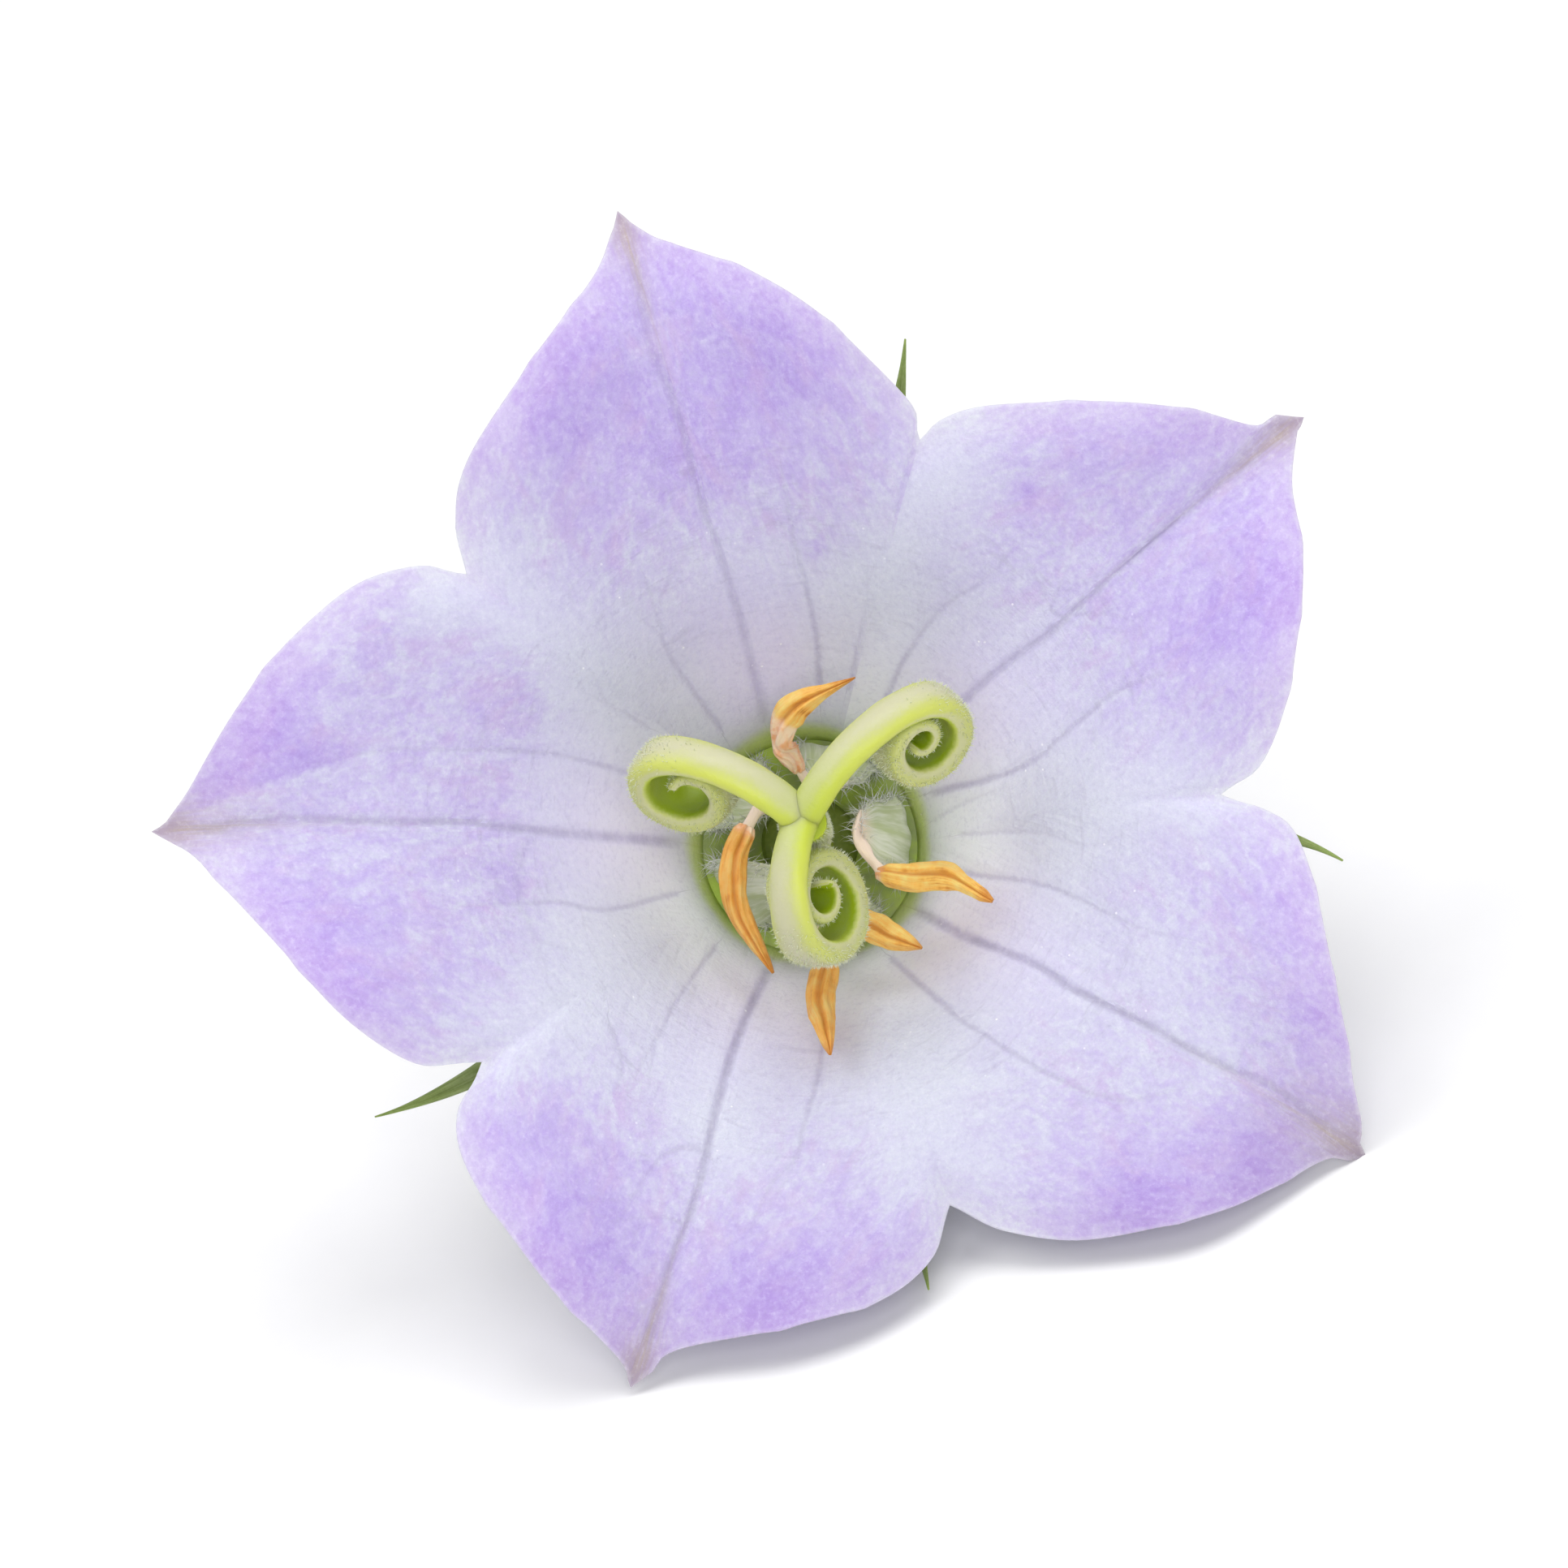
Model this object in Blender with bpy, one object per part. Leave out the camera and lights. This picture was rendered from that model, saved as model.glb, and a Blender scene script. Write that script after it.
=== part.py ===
"""One open bellflower bloom, picked with a short stalk and lying as it comes to rest.

The pieces are modelled upright in the bloom's own frame: the axis of the flower is +Z, the flower
opens upwards, and the throat of the corolla is at Z = 0. An empty then leans the whole bloom
forward until two petal tips and the cut end of the stalk stand on the surface.
"""

import math

import bmesh
import bpy
import numpy as np
from mathutils import Matrix, Vector

MM = 0.001
SHARP_ANGLE = math.radians(50)

# Stance of the bloom at rest
LEAN = math.radians(52)
SPIN = math.radians(-17.5)

# Room left between neighbouring pieces
SEAT_GAP = 0.3 * MM

# Corolla: a bowl that opens into five lobes
THROAT_RADIUS = 3.6 * MM
BOWL_DEPTH = 12.2 * MM
BOWL_REACH = 5.3 * MM
RECURVE_START = 16.5 * MM
RECURVE_RATE = 45.0
PETAL_WALL = 0.65 * MM
LOBE_OPENS = 0.45
KEEL_DEPTH = 0.45 * MM
KEEL_WIDTH = 0.22
FLANK_LIFT = 1.0 * MM
WAVE_HEIGHT = 0.22 * MM
WAVE_COUNT = 2.5
PLEAT_DEPTH = 0.35 * MM
COLUMNS_PER_PETAL = 20
ROWS = 14

# The outline of each lobe as it is seen down the axis, in mm, counterclockwise: the notch before
# the lobe, the flank up to the tip, the tip, and the flank down to the next notch. `wave` shifts
# the waves of the lobe's edge.
PETALS = {
    "upper_right": {
        "notch": (13.7, 0.75),
        "rising": ((15.05, 1.75), (16.05, 4.4), (16.5, 8.8), (16.25, 11.6)),
        "tip": (16.75, 13.75),
        "falling": ((15.7, 13.2), (13.0, 13.6), (8.7, 13.95), (5.3, 13.8)),
        "wave": 0.0,
    },
    "upper_left": {
        "notch": (3.55, 12.3),
        "rising": ((3.4, 13.85), (1.05, 16.3), (-2.0, 18.25), (-5.2, 19.55)),
        "tip": (-6.55, 20.7),
        "falling": ((-7.15, 18.75), (-8.95, 15.75), (-11.55, 11.8), (-12.0, 9.8)),
        "wave": 1.3,
    },
    "left": {
        "notch": (-11.5, 8.25),
        "rising": ((-13.0, 8.45), (-15.2, 7.65), (-18.3, 4.8), (-21.0, 0.8)),
        "tip": (-22.3, -0.4),
        "falling": ((-21.0, -1.1), (-18.3, -4.05), (-15.6, -6.8), (-13.0, -8.35)),
        "wave": 2.1,
    },
    "lower": {
        "notch": (-10.95, -8.1),
        "rising": ((-11.85, -9.7), (-11.4, -11.8), (-9.2, -15.2), (-6.7, -17.8)),
        "tip": (-6.05, -19.25),
        "falling": ((-4.7, -17.95), (-0.75, -17.2), (2.5, -16.3), (4.15, -14.6)),
        "wave": 3.4,
    },
    "lower_right": {
        "notch": (4.6, -12.8),
        "rising": ((6.4, -13.8), (9.6, -14.2), (14.0, -13.2), (17.4, -11.5)),
        "tip": (18.75, -11.45),
        "falling": ((18.1, -9.6), (17.6, -6.5), (16.9, -2.9), (15.8, -0.3)),
        "wave": 4.6,
    },
}

# Ovary: a ribbed cup under the corolla, given as radius and height in mm
OVARY_PROFILE = ((3.9, -0.6), (3.95, -1.1), (3.5, -2.1), (2.8, -3.4), (1.9, -4.5), (1.0, -5.1))
OVARY_SIDES = 20
RIB_COUNT = 10
RIB_DEPTH = 0.12 * MM

# Calyx lobes behind the notches. They leave the ovary through the root and run through the two
# turns, as shares of their reach, to the tip. Bearings in degrees, lengths in mm.
SEPALS = {
    "right": {"bearing": -4.8, "reach": 17.8, "height": 9.0, "width": 1.9, "hook": -9.0},
    "upper": {"bearing": 79.0, "reach": 16.5, "height": 8.8, "width": 1.8, "hook": 3.0},
    "upper_left": {"bearing": 144.0, "reach": 13.4, "height": 6.6, "width": 1.9, "hook": 4.0},
    "lower_left": {"bearing": 215.0, "reach": 17.8, "height": 9.0, "width": 1.9, "hook": 6.0},
    "lower": {"bearing": 283.9, "reach": 16.4, "height": 10.35, "width": 1.6, "hook": -2.0},
}
SEPAL_ROOT = (2.6, -1.9)
SEPAL_TURNS = ((0.33, -1.0), (0.63, 3.4))
SEPAL_THICKNESS = 0.65 * MM
SEPAL_RINGS = 14
SEPAL_SIDES = 6
SEPAL_WIDTHS = ((0.0, 0.8), (0.25, 1.0), (0.55, 0.85), (0.85, 0.5), (1.0, 0.18))

# Stalk
STALK_RADIUS = 0.68 * MM
STALK_COLLAR = 0.9 * MM
STALK_BOW = 0.35 * MM
STALK_SIDES = 12
STALK_RINGS = 9

# Nectary disc on top of the ovary: shares of its thickness and of its radius
DISC_RADIUS = 1.75 * MM
DISC_THICKNESS = 0.8 * MM
DISC_SIDES = 20
DISC_PROFILE = ((0.0, 0.78), (0.2, 0.92), (0.5, 1.0), (0.8, 0.92), (1.0, 0.78))

# Stamens: a broad hairy plate that arches over the disc, a thread, and a withered anther. Points
# in mm in the bloom's frame. The thread runs from the plate to near the first anther point.
PLATE_RADIUS = 2.65 * MM
PLATE_LIFT = 0.15 * MM
PLATE_HEIGHT = 1.4 * MM
PLATE_WIDTH = 2.4 * MM
PLATE_THICKNESS = 0.6 * MM
PLATE_WIDTHS = ((0.0, 1.0), (0.35, 0.92), (0.65, 0.35), (1.0, 0.26))
ANTHER_THICKNESS = 0.75 * MM
ANTHER_WIDTHS = ((0.0, 0.55), (0.15, 0.95), (0.45, 1.0), (0.75, 0.72), (1.0, 0.32))
ANTHER_DEPTHS = ((0.0, 0.85), (0.3, 1.0), (0.75, 0.95), (1.0, 0.8))
STAMEN_RINGS = 11
STAMEN_SIDES = 8
STAMENS = {
    "right": {
        "bearing": 3.0,
        "thread": ((1.6, 0.35, 3.0), (1.95, -0.6, 3.6)),
        "anther": ((2.35, -1.35, 4.2), (3.45, -1.55, 5.1), (4.85, -1.7, 6.2), (6.2, -2.55, 7.2)),
        "width": 1.05,
        "twist": 15.0,
    },
    "upper": {
        "bearing": 74.0,
        "thread": ((0.45, 1.75, 2.5), (0.0, 1.85, 3.1)),
        "anther": ((-0.4, 2.25, 3.8), (-1.0, 3.35, 4.7), (-0.5, 4.3, 5.6), (1.5, 5.15, 6.9)),
        "width": 1.0,
        "twist": 75.0,
    },
    "upper_left": {
        "bearing": 146.0,
        "thread": ((-1.35, 1.15, 2.6), (-1.8, 0.95, 3.3)),
        "anther": ((-2.2, 0.3, 4.0), (-2.65, -0.9, 4.2), (-2.55, -2.5, 4.6), (-1.3, -4.9, 5.6)),
        "width": 0.95,
        "twist": 30.0,
    },
    "lower_left": {
        "bearing": 218.0,
        "thread": ((-0.8, -1.9, 2.6), (0.35, -3.55, 3.7)),
        "anther": ((0.6, -4.35, 4.6), (0.35, -5.65, 5.8), (0.45, -6.8, 7.1), (0.65, -7.85, 8.2)),
        "width": 0.95,
        "twist": -20.0,
    },
    "lower_right": {
        "bearing": 290.0,
        "thread": ((0.95, -1.85, 2.6), (1.1, -2.25, 3.3)),
        "anther": ((1.45, -2.85, 4.0), (2.15, -3.25, 4.5), (2.95, -3.65, 5.1), (3.8, -4.05, 5.7)),
        "width": 1.1,
        "twist": 10.0,
    },
}

# Pistil: the style, and three stigma lobes that roll up at their ends
STYLE_RADIUS = 0.7 * MM
STYLE_SWELL = 1.15
STYLE_HEAD = Vector((-0.3, -0.05, 10.4)) * MM
STYLE_SIDES = 10
STYLE_RINGS = 9
LOBE_WIDTH = 1.8 * MM
LOBE_THICKNESS = 1.2 * MM
LOBE_WIDTHS = ((0.0, 0.8), (0.3, 1.0), (0.7, 1.0), (1.0, 0.8))
LOBE_DEPTHS = ((0.0, 1.0), (0.3, 0.8), (0.5, 0.52), (1.0, 0.5))
LOBE_SIDES = 8
ARCH_RINGS = 9
ROLL_RINGS = 24
ROLL_ANGLE = math.radians(310)
ROLL_TIGHTENS = 0.44
# Bearing a lobe leaves in and the degrees it rises at first, the length of its arch and the
# radius of its roll in mm, and the degrees over which the arch eases into the roll. The roll is
# turned out of the upright plane by `turn` degrees, to the left (1) or right (-1) seen from the
# style, and one turn of it drifts sideways by `drift` mm.
STIGMA_LOBES = {
    "left": {
        "bearing": 150.0,
        "rise": 21.0,
        "arch": 2.1,
        "roll": 1.7,
        "ease": 83.0,
        "turn": 43.0,
        "side": 1,
        "drift": -1.4,
    },
    "right": {
        "bearing": 43.0,
        "rise": 32.0,
        "arch": 3.4,
        "roll": 1.6,
        "ease": 60.0,
        "turn": 39.0,
        "side": -1,
        "drift": 0.4,
    },
    "lower": {
        "bearing": 268.0,
        "rise": 33.0,
        "arch": 2.2,
        "roll": 1.95,
        "ease": 33.0,
        "turn": 39.5,
        "side": 1,
        "drift": -1.0,
    },
}


def clear_scene():
    for thing in list(bpy.data.objects):
        bpy.data.objects.remove(thing)


def material(name, colour, roughness):
    made = bpy.data.materials.new(name)
    made.use_nodes = True
    shader = made.node_tree.nodes["Principled BSDF"]
    shader.inputs["Base Color"].default_value = (*colour, 1.0)
    shader.inputs["Roughness"].default_value = roughness
    shader.inputs["Metallic"].default_value = 0.0
    return made


def polar(radius, bearing, height=0.0):
    return Vector((radius * math.cos(bearing), radius * math.sin(bearing), height))


def ring_of(count, radius, height):
    return [polar(radius, 2 * math.pi * k / count, height) for k in range(count)]


def shares_of(count):
    return [number / (count - 1) for number in range(count)]


def read_profile(profile, share):
    """The value of a row of (share, value) pairs at one share."""
    return float(np.interp(share, *zip(*profile)))


def smooth_step(share):
    share = max(0.0, min(1.0, share))
    return share * share * (3 - 2 * share)


def curve_through(points, count):
    """`count` points spaced evenly along the Catmull-Rom curve through the given points."""
    first = points[0] * 2 - points[1]
    last = points[-1] * 2 - points[-2]
    knots = [first, *points, last]
    fine = []
    steps = 24
    for a, b, c, d in zip(knots, knots[1:], knots[2:], knots[3:]):
        for step in range(steps):
            t = step / steps
            bend = (a * 2 - b * 5 + c * 4 - d) * t * t + (b * 3 - a - c * 3 + d) * t * t * t
            fine.append((b * 2 + (c - a) * t + bend) / 2)
    fine.append(points[-1].copy())
    travelled = [0.0]
    for a, b in zip(fine, fine[1:]):
        travelled.append(travelled[-1] + (b - a).length)
    even = []
    index = 0
    for share in shares_of(count):
        wanted = travelled[-1] * share
        while index < len(fine) - 2 and travelled[index + 1] < wanted:
            index += 1
        span = travelled[index + 1] - travelled[index]
        even.append(fine[index].lerp(fine[index + 1], (wanted - travelled[index]) / span))
    return even


def add_object(name, mesh, finish, bloom):
    made = bpy.data.objects.new(name, mesh)
    bpy.context.scene.collection.objects.link(made)
    mesh.materials.append(finish)
    mesh.shade_smooth()
    mesh.set_sharp_from_angle(angle=SHARP_ANGLE)
    made.parent = bloom
    return made


def skinned(name, rings, finish, bloom):
    """A closed body over a row of rings of points, capped at both ends."""
    mesh = bpy.data.meshes.new(name)
    bm = bmesh.new()
    rows = [[bm.verts.new(point) for point in ring] for ring in rings]
    for row, following in zip(rows, rows[1:]):
        for k in range(len(row)):
            after = (k + 1) % len(row)
            bm.faces.new((row[k], row[after], following[after], following[k]))
    bm.faces.new(rows[0][::-1])
    bm.faces.new(rows[-1])
    bmesh.ops.triangulate(bm, faces=bm.faces[:])
    bmesh.ops.recalc_face_normals(bm, faces=bm.faces[:])
    bm.to_mesh(mesh)
    bm.free()
    return add_object(name, mesh, finish, bloom)


def heading_at(path, index):
    ahead = path[min(index + 1, len(path) - 1)] - path[max(index - 1, 0)]
    return ahead.normalized()


def oval_rings(path, facing, widths, thicknesses, sides):
    """Oval rings across a path. `facing` gives the direction of the thickness at each point."""
    rings = []
    for index, centre in enumerate(path):
        ahead = heading_at(path, index)
        across = ahead.cross(facing[index]).normalized()
        flat = across.cross(ahead)
        ring = []
        for k in range(sides):
            angle = 2 * math.pi * k / sides
            sideways = across * (widths[index] / 2 * math.cos(angle))
            ring.append(centre + sideways + flat * (thicknesses[index] / 2 * math.sin(angle)))
        rings.append(ring)
    return rings


def fuse(body, others):
    """Joins the objects of a collection to a body with one Boolean union, and removes them."""
    union = body.modifiers.new("union", "BOOLEAN")
    union.operation = "UNION"
    union.operand_type = "COLLECTION"
    union.collection = others
    union.solver = "EXACT"
    evaluated = body.evaluated_get(bpy.context.evaluated_depsgraph_get())
    joined = bpy.data.meshes.new_from_object(evaluated)
    body.modifiers.clear()
    body.data = joined
    joined.shade_smooth()
    joined.set_sharp_from_angle(angle=SHARP_ANGLE)
    for thing in list(others.objects):
        bpy.data.objects.remove(thing)
    bpy.data.collections.remove(others)


def move_to(others, thing):
    bpy.context.scene.collection.objects.unlink(thing)
    others.objects.link(thing)


def corolla_edge():
    """The edge of all the lobes as one closed row of points, seen down the axis."""
    half = COLUMNS_PER_PETAL // 2 + 1
    petals = list(PETALS.values())
    edge = []
    for petal, following in zip(petals, petals[1:] + petals[:1]):
        rising = (petal["notch"], *petal["rising"], petal["tip"])
        falling = (petal["tip"], *petal["falling"], following["notch"])
        for side in (rising, falling):
            corners = [Vector((x * MM, y * MM, 0)) for x, y in side]
            edge.extend(curve_through(corners, half)[:-1])
    return edge


def bowl_height(radius):
    rise = BOWL_DEPTH * (1 - math.exp((THROAT_RADIUS - radius) / BOWL_REACH))
    return rise - RECURVE_RATE * max(0.0, radius - RECURVE_START) ** 2


def petal_relief(across, along, wave):
    """Height that one lobe adds to the bowl. Across, 0 is its midrib and 1 or -1 its notch."""
    opened = smooth_step((along - LOBE_OPENS) / (1 - LOBE_OPENS))
    flank = math.sin(math.pi * abs(across)) ** 2 * opened**2
    keel = -KEEL_DEPTH * math.exp(-((across / KEEL_WIDTH) ** 2)) * opened
    waves = WAVE_HEIGHT * math.sin(WAVE_COUNT * math.pi * across + wave)
    pleat = -PLEAT_DEPTH / 2 * math.cos(math.pi * across) * math.sin(math.pi * along) ** 2
    return keel + pleat + flank * (FLANK_LIFT + waves)


def corolla_columns():
    """The inner face of the corolla, as columns of points from the throat out to the edge."""
    edge = corolla_edge()
    waves = [petal["wave"] for petal in PETALS.values()]
    bearings = [math.atan2(point.y, point.x) for point in edge[::COLUMNS_PER_PETAL]]
    columns = []
    for number, rim in enumerate(edge):
        petal, step = divmod(number, COLUMNS_PER_PETAL)
        span = (bearings[(petal + 1) % len(bearings)] - bearings[petal]) % (2 * math.pi)
        foot = polar(THROAT_RADIUS, bearings[petal] + span * step / COLUMNS_PER_PETAL)
        across = 2 * step / COLUMNS_PER_PETAL - 1
        column = []
        for along in shares_of(ROWS + 1):
            point = foot.lerp(rim, along)
            point.z = bowl_height(point.length) + petal_relief(across, along, waves[petal])
            column.append(point)
        columns.append(column)
    return columns


def make_corolla(finish, bloom):
    mesh = bpy.data.meshes.new("corolla")
    bm = bmesh.new()
    grid = [[bm.verts.new(point) for point in column] for column in corolla_columns()]
    for column, following in zip(grid, grid[1:] + grid[:1]):
        for row in range(ROWS):
            bm.faces.new((column[row], column[row + 1], following[row + 1], following[row]))
    bmesh.ops.triangulate(bm, faces=bm.faces[:], quad_method="FIXED")
    bm.to_mesh(mesh)
    bm.free()
    corolla = add_object("corolla", mesh, finish, bloom)
    wall = corolla.modifiers.new("wall", "SOLIDIFY")
    wall.thickness = PETAL_WALL
    wall.offset = -1
    return corolla


def ovary_rings():
    rings = []
    for radius, height in OVARY_PROFILE:
        ring = []
        for k in range(OVARY_SIDES):
            bearing = 2 * math.pi * k / OVARY_SIDES
            rib = RIB_DEPTH * math.cos(RIB_COUNT * bearing)
            ring.append(polar(radius * MM + rib, bearing, height * MM))
        rings.append(ring)
    return rings


def sepal_path(sepal):
    """From inside the rim of the ovary, out under the corolla, to the hooked tip."""
    turns = [(share * sepal["reach"], height) for share, height in SEPAL_TURNS]
    stations = (SEPAL_ROOT, *turns, (sepal["reach"], sepal["height"]))
    straight = curve_through([Vector((x, 0, z)) * MM for x, z in stations], SEPAL_RINGS)
    path = []
    for share, point in zip(shares_of(SEPAL_RINGS), straight):
        swing = sepal["bearing"] + sepal["hook"] * (share**3 - share)
        path.append(Matrix.Rotation(math.radians(swing), 3, "Z") @ point)
    return path


def make_calyx(finish, bloom):
    """The ovary, with the five calyx lobes joined to its rim."""
    calyx = skinned("calyx", ovary_rings(), finish, bloom)
    lobes = bpy.data.collections.new("calyx_lobes")
    bpy.context.scene.collection.children.link(lobes)
    up = [Vector((0, 0, 1))] * SEPAL_RINGS
    depths = [SEPAL_THICKNESS] * SEPAL_RINGS
    for name, sepal in SEPALS.items():
        widths = [
            sepal["width"] * MM * read_profile(SEPAL_WIDTHS, share)
            for share in shares_of(SEPAL_RINGS)
        ]
        rings = oval_rings(sepal_path(sepal), up, widths, depths, SEPAL_SIDES)
        move_to(lobes, skinned(f"sepal_{name}", rings, finish, bloom))
    fuse(calyx, lobes)


def make_stalk(corolla, stance, finish, bloom):
    """A short stalk, cut level with the surface that the petal tips lie on."""
    evaluated = corolla.evaluated_get(bpy.context.evaluated_depsgraph_get())
    mesh = evaluated.to_mesh()
    surface = min((stance @ vertex.co).z for vertex in mesh.vertices)
    evaluated.to_mesh_clear()
    cut_edge = min((stance @ point).z for point in ring_of(STALK_SIDES, STALK_RADIUS, 0.0))
    bottom = (surface - cut_edge) / (stance @ Vector((0, 0, 1))).z
    top = OVARY_PROFILE[-1][1] * MM - SEAT_GAP
    rings = []
    for share in shares_of(STALK_RINGS):
        bow = Vector((0, -STALK_BOW * math.sin(math.pi * share), 0))
        radius = STALK_RADIUS + (STALK_COLLAR - STALK_RADIUS) * (1 - share) ** 4
        ring = ring_of(STALK_SIDES, radius, top + (bottom - top) * share)
        rings.append([point + bow for point in ring])
    skinned("stalk", rings, finish, bloom)


def ovary_top():
    return OVARY_PROFILE[0][1] * MM


def make_disc(finish, bloom):
    """A low cushion, the same above and below its middle."""
    foot = ovary_top() + SEAT_GAP
    rings = [
        ring_of(DISC_SIDES, DISC_RADIUS * radius, foot + DISC_THICKNESS * share)
        for share, radius in DISC_PROFILE
    ]
    skinned("nectary_disc", rings, finish, bloom)


def make_filament(name, stamen, finish, bloom):
    bearing = math.radians(stamen["bearing"])
    foot = ovary_top() + SEAT_GAP + PLATE_LIFT
    root = polar(PLATE_RADIUS, bearing, foot)
    thread = [Vector(point) * MM for point in stamen["thread"]]
    path = curve_through([root, polar(PLATE_RADIUS, bearing, PLATE_HEIGHT), *thread], STAMEN_RINGS)
    widths = [PLATE_WIDTH * read_profile(PLATE_WIDTHS, s) for s in shares_of(STAMEN_RINGS)]
    facing = [polar(1, bearing)] * STAMEN_RINGS
    depths = [PLATE_THICKNESS] * STAMEN_RINGS
    skinned(f"filament_{name}", oval_rings(path, facing, widths, depths, STAMEN_SIDES), finish, bloom)


def make_anther(name, stamen, finish, bloom):
    points = [Vector(point) * MM for point in stamen["anther"]]
    path = curve_through(points, STAMEN_RINGS)
    chord = (points[-1] - points[0]).normalized()
    twist = math.radians(stamen["twist"])
    shares = shares_of(STAMEN_RINGS)
    widths = [stamen["width"] * MM * read_profile(ANTHER_WIDTHS, share) for share in shares]
    depths = [ANTHER_THICKNESS * read_profile(ANTHER_DEPTHS, share) for share in shares]
    turns = [Matrix.Rotation(twist * (share - 0.5), 3, chord) for share in shares]
    facing = [turn @ Vector((0, 0, 1)) for turn in turns]
    skinned(f"anther_{name}", oval_rings(path, facing, widths, depths, STAMEN_SIDES), finish, bloom)


def lobe_path(lobe):
    """Centre points of a stigma lobe, and the direction across it."""
    bearing = math.radians(lobe["bearing"])
    turn = math.radians(lobe["turn"])
    outward = polar(1, bearing)
    aside = polar(1, bearing + lobe["side"] * math.pi / 2)
    inward = aside * math.sin(turn) - Vector((0, 0, math.cos(turn)))
    across = outward.cross(inward)
    rise = math.radians(lobe["rise"])
    ease = math.radians(lobe["ease"])
    arch_bend = rise / (lobe["arch"] * MM)
    roll_bend = 1 / (lobe["roll"] * MM)
    heading = -rise
    path = [STYLE_HEAD.copy()]
    for number in range(ARCH_RINGS + ROLL_RINGS):
        swing = rise / ARCH_RINGS if number < ARCH_RINGS else ROLL_ANGLE / ROLL_RINGS
        middle = heading + swing / 2
        tightened = roll_bend * (1 + ROLL_TIGHTENS * max(0.0, middle) / (2 * math.pi))
        eased = smooth_step(middle / ease)
        step = swing / (arch_bend + (tightened - arch_bend) * eased)
        drift = across * (lobe["drift"] * MM * eased * swing / (2 * math.pi))
        way = outward * math.cos(middle) + inward * math.sin(middle)
        path.append(path[-1] + way * step + drift)
        heading += swing
    return path, across


def make_pistil(finish, bloom):
    """The style with its three rolled stigma lobes."""
    foot = ovary_top() + SEAT_GAP + DISC_THICKNESS + SEAT_GAP
    rings = []
    for share in shares_of(STYLE_RINGS):
        lean = Vector((STYLE_HEAD.x, STYLE_HEAD.y, 0)) * share**2
        radius = STYLE_RADIUS * (1 + (STYLE_SWELL - 1) * share)
        ring = ring_of(STYLE_SIDES, radius, foot + (STYLE_HEAD.z - foot) * share)
        rings.append([point + lean for point in ring])
    pistil = skinned("pistil", rings, finish, bloom)
    rolled = bpy.data.collections.new("stigma_lobes")
    bpy.context.scene.collection.children.link(rolled)
    for name, lobe in STIGMA_LOBES.items():
        path, across = lobe_path(lobe)
        shares = shares_of(len(path))
        widths = [LOBE_WIDTH * read_profile(LOBE_WIDTHS, share) for share in shares]
        depths = [LOBE_THICKNESS * read_profile(LOBE_DEPTHS, share) for share in shares]
        facing = [across.cross(heading_at(path, index)) for index in range(len(path))]
        lobe_rings = oval_rings(path, facing, widths, depths, LOBE_SIDES)
        move_to(rolled, skinned(f"stigma_{name}", lobe_rings, finish, bloom))
    fuse(pistil, rolled)


def rest_on_surface(bloom, stance):
    """Leans the bloom, and puts the surface and the middle of the bloom's box at the origin."""
    bloom.rotation_euler = stance.to_euler()
    bpy.context.view_layer.update()
    graph = bpy.context.evaluated_depsgraph_get()
    points = []
    for piece in bloom.children:
        evaluated = piece.evaluated_get(graph)
        mesh = evaluated.to_mesh()
        points.extend(evaluated.matrix_world @ vertex.co for vertex in mesh.vertices)
        evaluated.to_mesh_clear()
    low = [min(point[axis] for point in points) for axis in range(3)]
    high = [max(point[axis] for point in points) for axis in range(2)]
    bloom.location = (-(low[0] + high[0]) / 2, -(low[1] + high[1]) / 2, -low[2])


def main():
    clear_scene()
    lilac = material("lilac_petal", (0.62, 0.52, 0.82), 0.55)
    green = material("calyx_green", (0.22, 0.32, 0.08), 0.5)
    stem_green = material("stalk_green", (0.26, 0.36, 0.12), 0.5)
    nectar_green = material("nectary_green", (0.24, 0.3, 0.06), 0.35)
    plate_white = material("filament_white", (0.62, 0.65, 0.46), 0.6)
    orange = material("anther_orange", (0.78, 0.36, 0.08), 0.55)
    pale_green = material("stigma_green", (0.66, 0.72, 0.36), 0.5)

    bloom = bpy.data.objects.new("bloom", None)
    bpy.context.scene.collection.objects.link(bloom)
    stance = Matrix.Rotation(LEAN, 3, "X") @ Matrix.Rotation(SPIN, 3, "Z")

    corolla = make_corolla(lilac, bloom)
    make_calyx(green, bloom)
    make_stalk(corolla, stance, stem_green, bloom)
    make_disc(nectar_green, bloom)
    for name, stamen in STAMENS.items():
        make_filament(name, stamen, plate_white, bloom)
        make_anther(name, stamen, orange, bloom)
    make_pistil(pale_green, bloom)
    rest_on_surface(bloom, stance)


main()
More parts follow.
